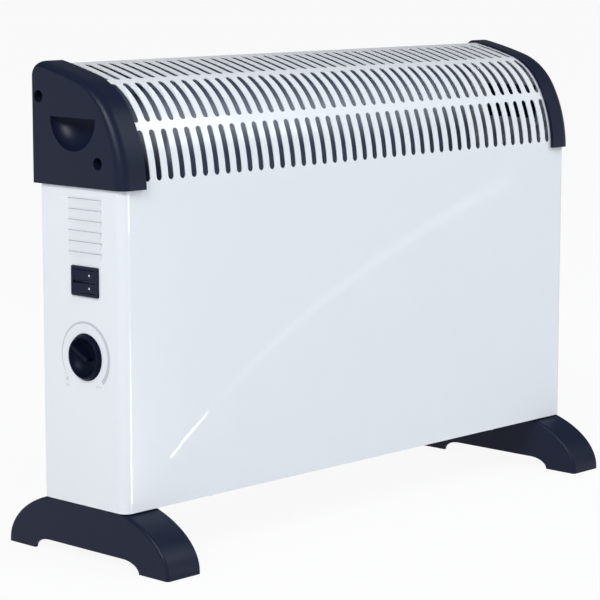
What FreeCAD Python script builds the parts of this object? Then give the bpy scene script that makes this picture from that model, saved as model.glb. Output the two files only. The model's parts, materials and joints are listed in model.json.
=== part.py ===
import FreeCAD, Part
import math
import os

# Convector heater, in millimetres. +Z is up, the front faces -Y and the controls are at the -X end.
# The origin is on the floor, under the middle of the heater.

# Casing
overall_width = 590.0       # over the two end caps
casing_depth = 104.0
casing_bottom = 48.0        # underside of the casing above the floor
curve_start = 313.4         # height at which the front begins to curve back
arc_radii = (121.0, 63.0, 450.0)    # of the three arcs that follow each other up to the back
arc_slopes_deg = (90.0, 60.0, 17.2)     # steepness at which each of them begins
back_corner = 8.0           # rounding along the top of the back
upright_corner = 8.0        # rounding of the end sheets' upright corners
sheet = 0.8
flange = 12.0               # width of the turned-in edges
back_lip = 16.0             # how far the casing comes down the back, below its rounding
fit_gap = 0.3               # between pieces that slip together
overrun = 5.0               # by which a cut runs past what it cuts

# Outlet slots, in columns along the heater and in rows up the curve
slot_margin = 20.7          # from the casing's end to the middle of the first column
slot_pitch = 13.2
slot_width = 6.4
slot_rows = 3
slot_first = 7.5            # from the start of the curve to the lowest slots, along the curve
slot_length = 42.6
slot_web = 6.7              # between a slot and the one above it

# Inlet slots in the base
inlet_margin = 15.0         # from the feet of the partition and the right bracket
inlet_pitch = 16.0
inlet_width = 6.0
inlet_length = 62.0

# Louvres in the control end
louvre_count = 6
louvre_pitch = 8.85
louvre_drop = 9.5           # of the highest one below the cap
louvre_length = 43.6
louvre_height = 6.4
louvre_stand = 1.7
louvre_taper = 3.0          # by which each end draws in towards the bottom
louvre_y = -6.8

# End caps
cap_side_wall = 2.0
cap_bottom = 315.0          # height of the caps' lower edges above the floor
cap_stand = 4.0             # how far a cap stands out from the front and the back
cap_top_stand = 2.0         # how far it stands out from the top
cap_reach = 26.0            # along the heater
cap_skirt = 5.0             # by which a cap reaches down over the end sheet
cap_corner = 9.5
cap_round_front = 10.0      # rounding between a cap's side and its rim
cap_round_top = 4.5
cap_round_back = 1.5
cap_round_steps = 9
cap_rim_wall = 1.5             # inside that rounding

# Finger grip in each cap, half round with a flat top
grip_radius = 27.7
grip_depth = 18.0
grip_drop = 42.1            # of its top below the casing's top
grip_y = 4.6
grip_wall = 2.0

# Screw wells of the caps, and the former that they screw to
well_radius = 5.2
well_wall = 2.0
well_floor = 2.5
rear_well_in = 5.0          # from the casing's back
rear_well_drop = 26.4       # below the casing's top
front_well_in = 26.4        # from the casing's front
front_well_rise = 20.6      # above the cap's bottom
bracket_setback = 16.0      # from the cap's side face to the former's plate
bracket_drop = 15.0         # by which the former reaches below the caps
bracket_rim = 9.0

# Feet, each an arch whose top is half an ellipse
foot_inset = 2.0            # from the end of the casing
foot_width = 38.0
foot_half_depth = 100.0
foot_spring = 2.0           # height at which the ellipse begins
foot_crown = 52.0           # height of the whole ellipse above that, before the seat is cut flat
foot_round = 3.0
foot_wall = 3.0
arch_height = 9.7
arch_flat_half = 46.0
arch_half = 65.5
foot_rib_y = 52.0
foot_rib = 2.0
foot_boss_y = 30.0
foot_boss_radius = 5.0
foot_boss_drop = 25.0

# Screws, by the radius of the shank
self_tapper = 1.5
cap_screw = 1.9
foot_screw = 2.1
small_screw = 1.2
head_radius_share = 2.0     # of the shank's radius
head_height_share = 1.25
screw_gap = 0.1
screw_through = 4.0         # how far a screw's end stands past what it holds
rear_screw_rise = 32.0      # of the lowest screws of the back above the casing's bottom
rear_screw_pitch = 105.0
rear_screw_rows = 3
row_screw_margin = 94.7     # of the outer screws in a long row from the casing's end

# Thermostat: a low dished knob, half sunk in the panel, on a sprung-blade thermostat
dial_y = -5.6
dial_z = 174.2
knob_radius = 19.4
knob_face_radius = 17.8
knob_proud = 3.6
knob_sunk = 6.0
knob_gap = 0.5
knob_rim = 1.4
knob_round = 0.8
dish_depth = 7.0
dish_shoulder_radius = 13.0
dish_shoulder_depth = 4.9
ridge_width = 3.8
ridge_drop = 0.4            # of the ridge's crest below the knob's face
ridge_past_centre = 3.0
ridge_round = 1.3
ridge_angle = 28.0          # of the ridge above the horizontal, towards the back
hub_radius = 5.5
hub_length = 2.5
hub_wall = 1.2
spindle_radius = 3.0
spindle_gap = 0.05
spindle_collar_radius = 4.2
spindle_collar = 1.5
thermostat_width = 22.0
thermostat_height = 30.0
thermostat_depth = 17.0
thermostat_screw_reach = 8.5
strap = 1.2
strap_width = 24.0
strap_half_height = 25.0
strap_foot = 10.0
strap_stand = 8.7
stud_radius = 1.9
stud_length = 7.0
nut_across = 7.0
nut_height = 3.0
blade_thick = 0.6
blade_width = 6.0
blade_pitch = 4.0
blade_post = 5.0

# Twin rocker switch
switch_y = -6.7
switch_z = 237.5
bezel_long = 33.0
bezel_high = 25.0
bezel_stand = 2.0
bezel_round = 1.4
bezel_edge_round = 0.7
housing_long = 30.0
housing_high = 22.6
housing_depth = 20.0
rocker_radius = 13.4        # half a rocker's length
rocker_high = 8.6
rocker_gap = 0.3
rocker_wall = 1.6           # between the two rockers
rocker_wall_drop = 1.2
rocker_tilt = 8.0
rocker_pivot_depth = 3.5    # behind the bezel's face
rocker_valley = 0.3
rocker_body = 5.5
pocket_depth = 9.0
pin_radius = 1.2
pin_gap = 0.05
pin_length = 0.7
tab_thick = 0.8
tab_wide = 4.8
tab_length = 8.0
tab_spacing = 9.0

# Partition between the control space and the hot chamber
shield_from_end = 65.0
shield_foot_half = 36.0

# Heating element: two wound wires, each in four passes, in mica cards between two rails
element_bottom = 116.0
element_height = 48.0
element_half_depth = 27.0
element_end = 48.0          # from the right bracket to the right end sheet
bracket_sheet = 1.2
rail_height = 12.0
rail_thick = 1.0
card_thick = 1.6
card_count = 6
coil_radius = 2.5
coil_gap = 0.2
coil_passes = 4
coil_pitch = 10.6
coil_in = 14.0              # of the wires from the element's sides
coil_end_gap = 12.0
coil_tail = 9.0             # by which the wires' ends stand into the control space
bush_radius = 4.5
bush_collar_radius = 6.5
bush_collar = 1.6
bush_reach = 2.4

# Safety cut-out on the partition
cutout_z = 222.0
cutout_radius = 8.0
cutout_height = 8.0
cutout_sensor_radius = 6.5
cutout_sensor = 4.0
cutout_plate_half = 15.0
cutout_plate_half_height = 7.5
cutout_plate = 1.2
cutout_screw_y = 11.8

# Terminal block and cord inlet, low in the control space
block_x = 25.0              # of the block's centre from the end sheet
block_y = 6.0
block_long = 34.0
block_deep = 20.0
block_high = 15.0
block_ways = 3
block_way_pitch = 11.0
block_groove = 2.0
block_groove_depth = 6.0
inlet_x = 36.0              # of the cord inlet from the end sheet
inlet_z = 78.0
inlet_radius = 8.0
inlet_collar_radius = 11.5
inlet_collar = 3.0
inlet_sleeve = 9.0
inlet_bore = 4.0
inlet_nut_across = 20.0
inlet_nut_height = 4.0
earth_x = 52.0              # of the earth screw from the end sheet
earth_y = -18.0

# Leads
lead_radius = 1.3
lead_bend = 6.0
link_bend = 5.0
bend_share = 0.45           # of the shorter run beside a bend, which the bend may take up
lead_gap = 0.4
lead_lane = 43.0            # of the leads' common lane from the end sheet
lead_rise = 22.0            # by which they leave the terminal block, or come up to what they feed
lead_out = 12.0             # by which they leave a tab
lead_side = 24.0            # how far the long ones swing to the front and the back
lead_pair = 1.4             # half the distance between two leads under one screw

# Worked out
front = -casing_depth / 2
back = casing_depth / 2
cap_face = overall_width / 2
casing_end = cap_face - cap_side_wall - fit_gap
coil_y = element_half_depth - coil_in
seam = casing_end - upright_corner
bracket_face = cap_face - bracket_setback
row_screw_x = [side * (seam - row_screw_margin) for side in (-1, 0, 1)]
shield_x = -(casing_end - shield_from_end)
bezel_face = -casing_end - bezel_stand
knob_face = -casing_end - knob_proud
knob_back = -casing_end + knob_sunk
strap_outer = -casing_end + sheet + strap_stand
floor_top = casing_bottom + sheet
element_right = casing_end - sheet - element_end
element_mid = element_bottom + element_height / 2
coil_left = shield_x + sheet + bracket_sheet + coil_end_gap
coil_right = element_right - coil_end_gap
coil_heights = [element_mid + coil_pitch * (i - (coil_passes - 1) / 2) for i in range(coil_passes)]

X = FreeCAD.Vector(1, 0, 0)
Y = FreeCAD.Vector(0, 1, 0)
Z = FreeCAD.Vector(0, 0, 1)


def at(x, y, z):
    return FreeCAD.Vector(x, y, z)


def slab(x0, x1, y0, y1, z0, z1):
    """A rectangular block between two corners."""
    return Part.makeBox(x1 - x0, y1 - y0, z1 - z0, at(x0, y0, z0))


def rod(radius, start, along, length):
    return Part.makeCylinder(radius, length, start, along)


def prism(points, along):
    """A flat outline of straight sides, drawn out along a vector."""
    return Part.Face(Part.makePolygon(points + points[:1])).extrude(along)


def hexagon(across, start, along_x, height, bore):
    """A nut that lies square to X or Y, with its bore."""
    reach = across / math.sqrt(3)
    points = []
    for k in range(6):
        turn = math.radians(60 * k)
        side = reach * math.cos(turn)
        up = reach * math.sin(turn)
        points.append(start + (Y * side if along_x else X * side) + Z * up)
    axis = X if along_x else Y
    return prism(points, axis * height).cut(rod(bore, start - axis * overrun, axis, height + 2 * overrun))


def head_height(shank):
    return shank * head_height_share


def screw(shank, seat, along, grip):
    """A screw whose head sits on seat, and whose shank runs along through what it grips."""
    head = shank * head_radius_share
    high = head_height(shank)
    body = rod(shank, seat, along, grip + screw_through)
    dome = rod(head, seat - along * high, along, high)
    rim = [edge for edge in dome.Edges if (edge.BoundBox.Center - (seat - along * high)).Length < shank / 2]
    return body.fuse(dome.makeFillet(high / 2, rim[:1]))


def screw_hole(shank, seat, along, depth):
    return rod(shank + screw_gap, seat - along * overrun, along, depth + 2 * overrun)


def mirrored(shape):
    """The same piece for the other end."""
    return shape.mirror(at(0, 0, 0), X)


def save(name, *solids):
    """Write one node, made of one solid or a group of them."""
    shape = solids[0] if len(solids) == 1 else Part.makeCompound(list(solids))
    shape.exportStep("parts/" + name + ".step")
    print(name, len(shape.Solids), round(shape.Volume), shape.isValid())


# The curved side view

def curve_arcs(front_in, top_in, back_in, corner):
    """The side view's arcs from the front to the back, drawn in by the given amounts.

    Each is its middle at x = 0, its radius and the slopes between which it runs, in radians.
    """
    arcs = []
    foot = at(0, front + front_in, curve_start + front_in - top_in)
    slopes = [math.radians(slope) for slope in arc_slopes_deg]
    for index, radius in enumerate(arc_radii):
        radius -= front_in
        middle = foot - on_arc((at(0, 0, 0), radius), slopes[index])
        if index + 1 < len(slopes):
            arcs.append((middle, radius, slopes[index], slopes[index + 1]))
            foot = on_arc(arcs[-1], slopes[index + 1])
    across = back - back_in - corner - middle.y
    up = math.sqrt((radius - corner) ** 2 - across ** 2)
    meet = math.atan2(-across, up)
    arcs.append((middle, radius, slopes[-1], meet))
    arcs.append((middle + at(0, across, up), corner, meet, -math.pi / 2))
    return arcs


def on_arc(arc, slope):
    """The point of an arc at which it has the given slope."""
    return arc[0] + at(0, -arc[1] * math.sin(slope), arc[1] * math.cos(slope))


def along_curve(distance):
    """The point of the casing's curve at a distance from its start."""
    for arc in curve_arcs(0, 0, 0, back_corner):
        length = arc[1] * (arc[2] - arc[3])
        if distance <= length:
            return on_arc(arc, arc[2] - distance / arc[1])
        distance -= length


def side_outline(x, bottom, front_in, top_in, back_in, corner):
    """The casing's side view at x, drawn in by the given amounts and closed along the bottom."""
    across = X * x
    arcs = curve_arcs(front_in, top_in, back_in, corner)
    start = on_arc(arcs[0], arcs[0][2]) + across
    end = on_arc(arcs[-1], arcs[-1][3]) + across
    low_front = at(x, start.y, bottom)
    low_back = at(x, end.y, bottom)
    edges = [Part.makeLine(low_back, low_front), Part.makeLine(low_front, start)]
    for arc in arcs:
        places = [on_arc(arc, slope) + across for slope in (arc[2], (arc[2] + arc[3]) / 2, arc[3])]
        edges.append(Part.Arc(*places).toShape())
    edges.append(Part.makeLine(end, low_back))
    return Part.Wire(Part.sortEdges(edges)[0])


def casing_crest():
    """The height of the casing's highest line, which is in the rounding along its back."""
    middle, radius = curve_arcs(0, 0, 0, back_corner)[-1][:2]
    return middle.z + radius


casing_top = casing_crest()
grip_top = casing_top - grip_drop


def heater_block(x0, x1, bottom, inset, back_inset=None):
    """A solid with the casing's side view, drawn in all round by inset."""
    rear = inset if back_inset is None else back_inset
    wire = side_outline(x0, bottom, inset, inset, rear, back_corner - inset)
    return Part.Face(wire).extrude(X * (x1 - x0))


def end_tub(inset, x_inner, bottom, top):
    """The space inside the control end's rounded upright corners, drawn in by inset."""
    tub = slab(-casing_end + inset, x_inner, front + inset, back - inset, bottom, top)
    upright = [edge for edge in tub.Edges
               if edge.BoundBox.XMax < -casing_end + upright_corner and edge.BoundBox.ZLength > sheet / 2]
    return tub.makeFillet(upright_corner - inset, upright)


# Casing

def slot_cutter(row):
    """One round-ended slot over the middle of the heater."""
    start = slot_first + row * (slot_length + slot_web)
    low = along_curve(start)
    high = along_curve(start + slot_length)
    along = (high - low).normalize()
    outward = X.cross(along)
    half = slot_width / 2
    low += along * half - outward * 2 * overrun
    high -= along * half + outward * 2 * overrun
    outline = Part.Wire([Part.Arc(low - X * half, low - along * half, low + X * half).toShape(),
                         Part.makeLine(low + X * half, high + X * half),
                         Part.Arc(high + X * half, high + along * half, high - X * half).toShape(),
                         Part.makeLine(high - X * half, low - X * half)])
    return Part.Face(outline).extrude(outward * 4 * overrun)


def make_front_casing():
    shell = heater_block(-seam, seam, casing_bottom, 0).cut(
        heater_block(-seam - overrun, seam + overrun, casing_bottom - overrun, sheet))
    lip_bottom = casing_top - back_corner - back_lip
    shell = shell.cut(slab(-seam - overrun, seam + overrun, 0, back + overrun,
                           casing_bottom - overrun, lip_bottom))
    for side in (-1, 1):
        edge = sorted((side * (bracket_face - fit_gap), side * (seam + overrun)))
        shell = shell.cut(slab(edge[0], edge[1], back - back_corner / 2, back + overrun,
                               lip_bottom - overrun, casing_top - back_corner))
    turn_in = slab(-seam, seam, front + sheet, front + sheet + flange, floor_top, floor_top + sheet)
    shell = shell.fuse(turn_in)
    gaps = round(2 * (seam - slot_margin) / slot_pitch)
    cutters = []
    for row in range(slot_rows):
        cutter = slot_cutter(row)
        for column in range(gaps + 1):
            cutters.append(cutter.translated(X * slot_pitch * (column - gaps / 2)))
    shell = shell.cut(Part.makeCompound(cutters))
    for x in row_screw_x:
        shell = shell.cut(screw_hole(self_tapper, at(x, back, lip_bottom + back_lip / 2), -Y, sheet))
        shell = shell.cut(screw_hole(self_tapper, at(x, front + sheet + flange / 2, floor_top), Z, sheet))
    return shell


def make_rear_panel():
    high = casing_top - back_corner - sheet
    panel = slab(-seam + fit_gap, seam - fit_gap, back - 2 * sheet, back - sheet, floor_top, high)
    for side in (-1, 1):
        edge = sorted((side * (bracket_face - fit_gap), side * (seam + overrun)))
        panel = panel.cut(slab(edge[0], edge[1], back - overrun, back + overrun,
                               cap_bottom + cap_skirt, high + overrun))
    for seat, along in rear_screw_seats():
        panel = panel.cut(screw_hole(self_tapper, seat, along, 2 * sheet))
    for x in row_screw_x:
        panel = panel.cut(screw_hole(self_tapper, base_rear_seat(x), -Y, sheet))
    gland = at(-casing_end + inlet_x, back + overrun, inlet_z)
    return panel.cut(rod(inlet_radius + fit_gap, gland, -Y, 4 * overrun))


def end_shell():
    """An end sheet with its rounded upright corners, its return over the back and its turned-in bottom."""
    inner = -seam + back_return()
    top = cap_bottom + cap_skirt
    shell = end_tub(0, inner, casing_bottom, top).cut(
        end_tub(sheet, inner + overrun, casing_bottom - overrun, top + overrun))
    shell = shell.cut(slab(-seam, inner + overrun, front - overrun, 0,
                           casing_bottom - overrun, top + overrun))
    half = casing_depth / 2 - sheet - flange - fit_gap
    turn_in = slab(-casing_end + sheet, -casing_end + sheet + flange, -half, half,
                   floor_top, floor_top + sheet)
    shell = shell.fuse(turn_in)
    for seat, along in rear_screw_seats():
        shell = shell.cut(screw_hole(self_tapper, seat, along, 2 * sheet))
    return shell


def back_return():
    return flange + upright_corner / 4


def louvre(index):
    """A hood pressed out of the end sheet, open along its top, with the solid that clears its inside."""
    top = cap_bottom - louvre_drop - louvre_pitch * index
    outside = -casing_end

    def hood(stand, shrink):
        half_top = louvre_length / 2 - shrink
        half_low = half_top - louvre_taper
        foot = top - louvre_height + shrink
        high = [at(outside + sheet, louvre_y - half_top, top), at(outside + sheet, louvre_y + half_top, top),
                at(outside - stand, louvre_y + half_top - stand, top),
                at(outside - stand, louvre_y - half_top + stand, top)]
        low = [at(outside + sheet, louvre_y - half_low, foot), at(outside + sheet, louvre_y + half_low, foot),
               at(outside, louvre_y + half_low, foot), at(outside, louvre_y - half_low, foot)]
        return Part.makeLoft([Part.makePolygon(high + high[:1]), Part.makePolygon(low + low[:1])], True, True)

    return hood(louvre_stand, 0), hood(louvre_stand - sheet, sheet)


def make_left_end_panel():
    panel = end_shell()
    for index in range(louvre_count):
        full, inside = louvre(index)
        panel = panel.fuse(full).cut(inside)
    panel = panel.cut(rod(knob_radius + knob_gap, at(-casing_end - overrun, dial_y, dial_z), X,
                          2 * overrun))
    panel = panel.cut(slab(-casing_end - overrun, -casing_end + overrun,
                           switch_y - housing_long / 2 - fit_gap, switch_y + housing_long / 2 + fit_gap,
                           switch_z - housing_high / 2 - fit_gap, switch_z + housing_high / 2 + fit_gap))
    for place in stud_places():
        panel = panel.fuse(rod(stud_radius, place, X, stud_length))
    return panel


def make_right_end_panel():
    return mirrored(end_shell())


def make_base_grille():
    inset = sheet + fit_gap
    half = end_tub(inset, overrun, casing_bottom, floor_top)
    plate = half.fuse(mirrored(half)).removeSplitter()
    upturn = slab(-seam + flange, seam - flange, back - 3 * sheet, back - 2 * sheet,
                  floor_top, floor_top + flange)
    plate = plate.fuse(upturn)
    first = shield_x + flange + inlet_margin
    last = element_right - flange - inlet_margin
    gaps = int((last - first) / inlet_pitch)
    for index in range(gaps + 1):
        x = (first + last) / 2 + inlet_pitch * (index - gaps / 2)
        plate = plate.cut(rounded_slot(x, inlet_width, inlet_length))
    for side in (-1, 1):
        for y in (-foot_boss_y, foot_boss_y):
            plate = plate.cut(screw_hole(foot_screw, at(side * foot_middle(), y, casing_bottom), Z, sheet))
    for x in row_screw_x:
        plate = plate.cut(screw_hole(self_tapper, at(x, front + sheet + flange / 2, casing_bottom), Z, sheet))
        plate = plate.cut(screw_hole(self_tapper, base_rear_seat(x), -Y, 2 * sheet))
    plate = plate.cut(screw_hole(cap_screw, earth_place(), Z, sheet))
    for seat in element_screw_seats()[4:]:
        plate = plate.cut(screw_hole(small_screw, seat, -Z, bracket_sheet + sheet))
    return plate


def rounded_slot(x, width, length):
    """A cutter for one round-ended slot through the base."""
    straight = (length - width) / 2
    low = casing_bottom - overrun
    high = 2 * overrun
    middle = slab(x - width / 2, x + width / 2, -straight, straight, low, low + high)
    ends = [rod(width / 2, at(x, y, low), Z, high) for y in (-straight, straight)]
    return middle.fuse(ends)


def rear_screw_seats():
    """Where the screws of the back sit: down both returns, and along the casing's lip."""
    seats = []
    for row in range(rear_screw_rows):
        z = casing_bottom + rear_screw_rise + rear_screw_pitch * row
        for side in (-1, 1):
            seats.append((at(side * (seam - back_return() / 2), back, z), -Y))
    for x in row_screw_x:
        seats.append((at(x, back, casing_top - back_corner - back_lip / 2), -Y))
    return seats


def base_rear_seat(x):
    return at(x, back - sheet, floor_top + flange / 2)


def foot_middle():
    return casing_end - foot_inset - foot_width / 2


# End caps

def rounded_cap(start, end, wall):
    """The cap's shape drawn in by a wall: its side face is rounded into the rim, more at the front."""
    front_round = cap_round_front - wall
    top_round = cap_round_top - wall
    back_round = cap_round_back - wall
    sections = []
    for step in range(cap_round_steps):
        turn = math.pi / 2 * step / (cap_round_steps - 1)
        draw = 1 - math.sin(turn)
        x = start + front_round * (1 - math.cos(turn))
        sections.append(side_outline(x, cap_bottom - overrun,
                                     front_round * draw - cap_stand + wall,
                                     top_round * draw - cap_top_stand + wall,
                                     back_round * draw - cap_stand + wall,
                                     cap_corner - wall - back_round * draw))
    sections.append(sections[-1].translated(X * (end - start - front_round)))
    return Part.makeLoft(sections, True, True)


def cap_outside():
    below = slab(-cap_face - overrun, cap_reach - cap_face + overrun, 2 * front, 2 * back,
                 cap_bottom - 2 * overrun, cap_bottom)
    return rounded_cap(-cap_face, cap_reach - cap_face, 0).cut(below)


def cap_hollow():
    """The room inside the cap, rounded as the cap is, so that its rim keeps its wall."""
    plain = Part.Face(side_outline(-cap_face, cap_bottom - 2 * overrun,
                                   -fit_gap, -fit_gap, -fit_gap, back_corner + fit_gap))
    inside = rounded_cap(cap_side_wall - cap_face, cap_reach - cap_face + overrun, cap_rim_wall)
    return plain.extrude(X * (cap_reach + 2 * overrun)).common(inside)


def well_places():
    """The (y, z) of each screw well's middle."""
    return ((back - rear_well_in, casing_top - rear_well_drop),
            (front + front_well_in, cap_bottom + front_well_rise))


def grip_scoop(grow):
    """The finger grip's hollow, half an upright disc that gets shallower downwards."""
    radius = grip_radius + grow
    depth = grip_depth + grow
    ball = Part.makeSphere(radius)
    stretch = FreeCAD.Matrix()
    stretch.scale(depth / radius, 1, 1)
    ball = ball.transformGeometry(stretch)
    ball.translate(at(-cap_face, grip_y, grip_top))
    return ball.common(slab(-cap_face - overrun, -cap_face + 2 * depth,
                            grip_y - 2 * radius, grip_y + 2 * radius,
                            grip_top - 2 * radius, grip_top + grow))


def make_left_cap():
    outside = cap_outside()
    hollow = cap_hollow()
    cap = outside.cut(hollow)
    pocket = grip_scoop(grip_wall).common(slab(-cap_face, -cap_face + 2 * grip_depth, front, back,
                                               cap_bottom, casing_top))
    cap = cap.fuse(pocket.common(outside.fuse(hollow)))
    well_depth = bracket_setback
    for y, z in well_places():
        tube = rod(well_radius + well_wall, at(-cap_face, y, z), X, well_depth)
        cap = cap.fuse(tube.common(outside))
    cap = cap.cut(grip_scoop(0))
    for y, z in well_places():
        cap = cap.cut(rod(well_radius, at(-cap_face - overrun, y, z), X, overrun + well_depth - well_floor))
        cap = cap.cut(rod(cap_screw + screw_gap, at(-cap_face, y, z), X, well_depth + overrun))
    return cap


def make_left_cap_bracket():
    """The former under the casing's curve that a cap screws to."""
    bottom = cap_bottom - bracket_drop
    start = -bracket_face
    seat = sheet + fit_gap / 2
    rear = 2 * sheet + fit_gap
    whole = heater_block(start, start + bracket_rim, bottom, seat, rear)
    inner = heater_block(start + sheet, start + bracket_rim + overrun,
                         bottom - overrun, seat + sheet, rear + sheet)
    former = whole.cut(inner)
    reach = grip_radius + grip_wall + fit_gap
    former = former.cut(slab(start - overrun, start + bracket_rim + overrun, grip_y - reach, grip_y + reach,
                             grip_top - reach, grip_top + grip_wall + fit_gap))
    for y, z in well_places():
        former = former.cut(screw_hole(cap_screw, at(start, y, z), X, sheet))
    return former


def make_cap_screws():
    screws = []
    for y, z in well_places():
        seat = at(-bracket_face - well_floor, y, z)
        one = screw(cap_screw, seat, X, well_floor + sheet)
        high = head_height(cap_screw)
        narrow = cap_screw / 4
        for across, tall in ((narrow, cap_screw), (cap_screw, narrow)):
            one = one.cut(slab(seat.x - high - overrun, seat.x - high / 2,
                               y - across, y + across, z - tall, z + tall))
        screws += [one, mirrored(one)]
    return screws


# Feet

def foot_profile(inset, top, low):
    """Half an ellipse over the floor, cut flat at top, as a face at x = 0 that reaches down to low."""
    half = foot_half_depth - inset
    crown = foot_crown - inset
    centre = at(0, 0, foot_spring)
    if half >= crown:
        ellipse = Part.Ellipse(centre + Y * half, centre + Z * crown, centre)
        arc = Part.ArcOfEllipse(ellipse, 0, math.pi).toShape()
    else:
        ellipse = Part.Ellipse(centre + Z * crown, centre - Y * half, centre)
        arc = Part.ArcOfEllipse(ellipse, -math.pi / 2, math.pi / 2).toShape()
    sides = Part.makePolygon([centre + Y * half, at(0, half, low), at(0, -half, low), centre - Y * half])
    wire = Part.Wire(Part.sortEdges([arc] + sides.Edges)[0])
    keep = slab(-overrun, overrun, -half - overrun, half + overrun, low - overrun, top)
    return Part.Face(wire).common(keep).Faces[0]


def arch_cutter(x0, x1):
    """The low gap between the two pads of a foot, with elliptical shoulders."""
    rise = arch_height
    side = arch_half - arch_flat_half
    middle = slab(x0, x1, -arch_flat_half, arch_flat_half, -overrun, rise)
    shoulders = []
    for way in (-1, 1):
        centre = at(x0, way * arch_flat_half, 0)
        if side >= rise:
            ellipse = Part.Ellipse(centre + Y * side, centre + Z * rise, centre)
        else:
            ellipse = Part.Ellipse(centre + Z * rise, centre + Y * side, centre)
        face = Part.Face(Part.Wire(ellipse.toShape()))
        shoulders.append(face.extrude(X * (x1 - x0)))
    return middle.fuse(shoulders)


def make_left_foot():
    outer = -(casing_end - foot_inset)
    inner = outer + foot_width
    body = foot_profile(0, casing_bottom, 0).extrude(X * foot_width).translated(X * outer)
    rims = [edge for edge in body.Edges
            if edge.BoundBox.XLength < foot_wall / 2 and edge.BoundBox.YLength > foot_wall
            and edge.BoundBox.ZLength > foot_wall]
    body = body.makeFillet(foot_round, rims)
    cavity = foot_profile(foot_wall, casing_bottom - foot_wall, -overrun).extrude(
        X * (foot_width - 2 * foot_wall)).translated(X * (outer + foot_wall))
    ribs = []
    for y in (-foot_rib_y, foot_rib_y):
        ribs.append(slab(outer + foot_wall, inner - foot_wall, y - foot_rib / 2, y + foot_rib / 2,
                         2 * arch_height, casing_bottom - foot_wall))
    for y in (-foot_boss_y, foot_boss_y):
        ribs.append(rod(foot_boss_radius, at((outer + inner) / 2, y, casing_bottom - foot_boss_drop), Z,
                        foot_boss_drop - foot_wall))
    cavity = cavity.cut(Part.makeCompound(ribs))
    body = body.cut(cavity).cut(arch_cutter(outer - overrun, inner + overrun))
    for y in (-foot_boss_y, foot_boss_y):
        seat = at((outer + inner) / 2, y, casing_bottom - foot_boss_drop)
        body = body.cut(screw_hole(foot_screw, seat, Z, foot_boss_drop))
    return body


def make_foot_screws():
    screws = []
    for side in (-1, 1):
        for y in (-foot_boss_y, foot_boss_y):
            seat = at(side * foot_middle(), y, casing_bottom - foot_boss_drop)
            screws.append(screw(foot_screw, seat, Z, foot_boss_drop + sheet))
    return screws


def make_rear_screws():
    return [screw(self_tapper, seat, along, 2 * sheet) for seat, along in rear_screw_seats()]


def make_base_screws():
    screws = []
    for x in row_screw_x:
        screws.append(screw(self_tapper, at(x, front + sheet + flange / 2, casing_bottom), Z, 2 * sheet))
        screws.append(screw(self_tapper, base_rear_seat(x), -Y, 2 * sheet))
    return screws


# Thermostat and its knob

def stud_places():
    reach = strap_half_height + strap_foot / 2
    return [at(-casing_end + sheet, dial_y, dial_z - reach), at(-casing_end + sheet, dial_y, dial_z + reach)]


def make_thermostat_knob():
    """A low disc whose dished face holds a finger ridge, from the rim to just past the centre."""
    def on_profile(radius, x):
        return at(x, dial_y, dial_z + radius)

    rim = knob_face_radius - knob_rim
    edges = [Part.makeLine(on_profile(0, knob_back), on_profile(knob_radius, knob_back)),
             Part.makeLine(on_profile(knob_radius, knob_back), on_profile(knob_radius, -casing_end)),
             Part.makeLine(on_profile(knob_radius, -casing_end), on_profile(knob_face_radius, knob_face)),
             Part.makeLine(on_profile(knob_face_radius, knob_face), on_profile(rim, knob_face)),
             Part.Arc(on_profile(rim, knob_face),
                      on_profile(dish_shoulder_radius, knob_face + dish_shoulder_depth),
                      on_profile(0, knob_face + dish_depth)).toShape(),
             Part.makeLine(on_profile(0, knob_face + dish_depth), on_profile(0, knob_back))]
    disc = Part.Face(Part.Wire(edges)).revolve(at(0, dial_y, dial_z), X, 360)
    disc = Part.makeSolid(disc) if disc.ShapeType != "Solid" else disc
    rim_edges = [edge for edge in disc.Edges
                 if abs(edge.BoundBox.XMin - knob_face) < knob_gap / 2
                 and edge.BoundBox.XLength < knob_gap / 2 and edge.BoundBox.YLength > knob_radius]
    disc = disc.makeFillet(knob_round / 2, rim_edges)
    crest = knob_face + ridge_drop
    base = knob_face + dish_depth + hub_wall / 2
    half = ridge_width / 2
    outer_end = knob_face_radius - knob_rim / 2
    bar = slab(crest, base, dial_y - ridge_past_centre, dial_y + outer_end, dial_z - half, dial_z + half)
    tip = rod(half, at(crest, dial_y - ridge_past_centre, dial_z), X, base - crest)
    ridge = bar.fuse(tip).removeSplitter()
    tops = [edge for edge in ridge.Edges if abs(edge.BoundBox.XMax - crest) < knob_gap / 2
            and edge.BoundBox.YMin < dial_y + outer_end - half]
    ridge = ridge.makeFillet(ridge_round, tops)
    ridge = ridge.common(rod(knob_face_radius - knob_rim / 2, at(knob_face, dial_y, dial_z), X,
                             dish_depth + hub_wall))
    ridge.rotate(at(0, dial_y, dial_z), X, ridge_angle)
    hub = rod(hub_radius, at(knob_back - hub_wall, dial_y, dial_z), X, hub_length + hub_wall)
    bore = rod(spindle_radius, at(knob_face + dish_depth + hub_wall, dial_y, dial_z), X,
               knob_sunk + knob_proud)
    return disc.fuse([ridge, hub]).cut(bore)


def spindle_ends():
    return knob_face + dish_depth + hub_wall, strap_outer + strap + thermostat_depth


def make_thermostat_spindle():
    start, end = spindle_ends()
    shaft = rod(spindle_radius, at(start, dial_y, dial_z), X, end - start + fit_gap)
    collar = rod(spindle_collar_radius, at(end + fit_gap, dial_y, dial_z), X, spindle_collar)
    return shaft.fuse(collar)


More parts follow.
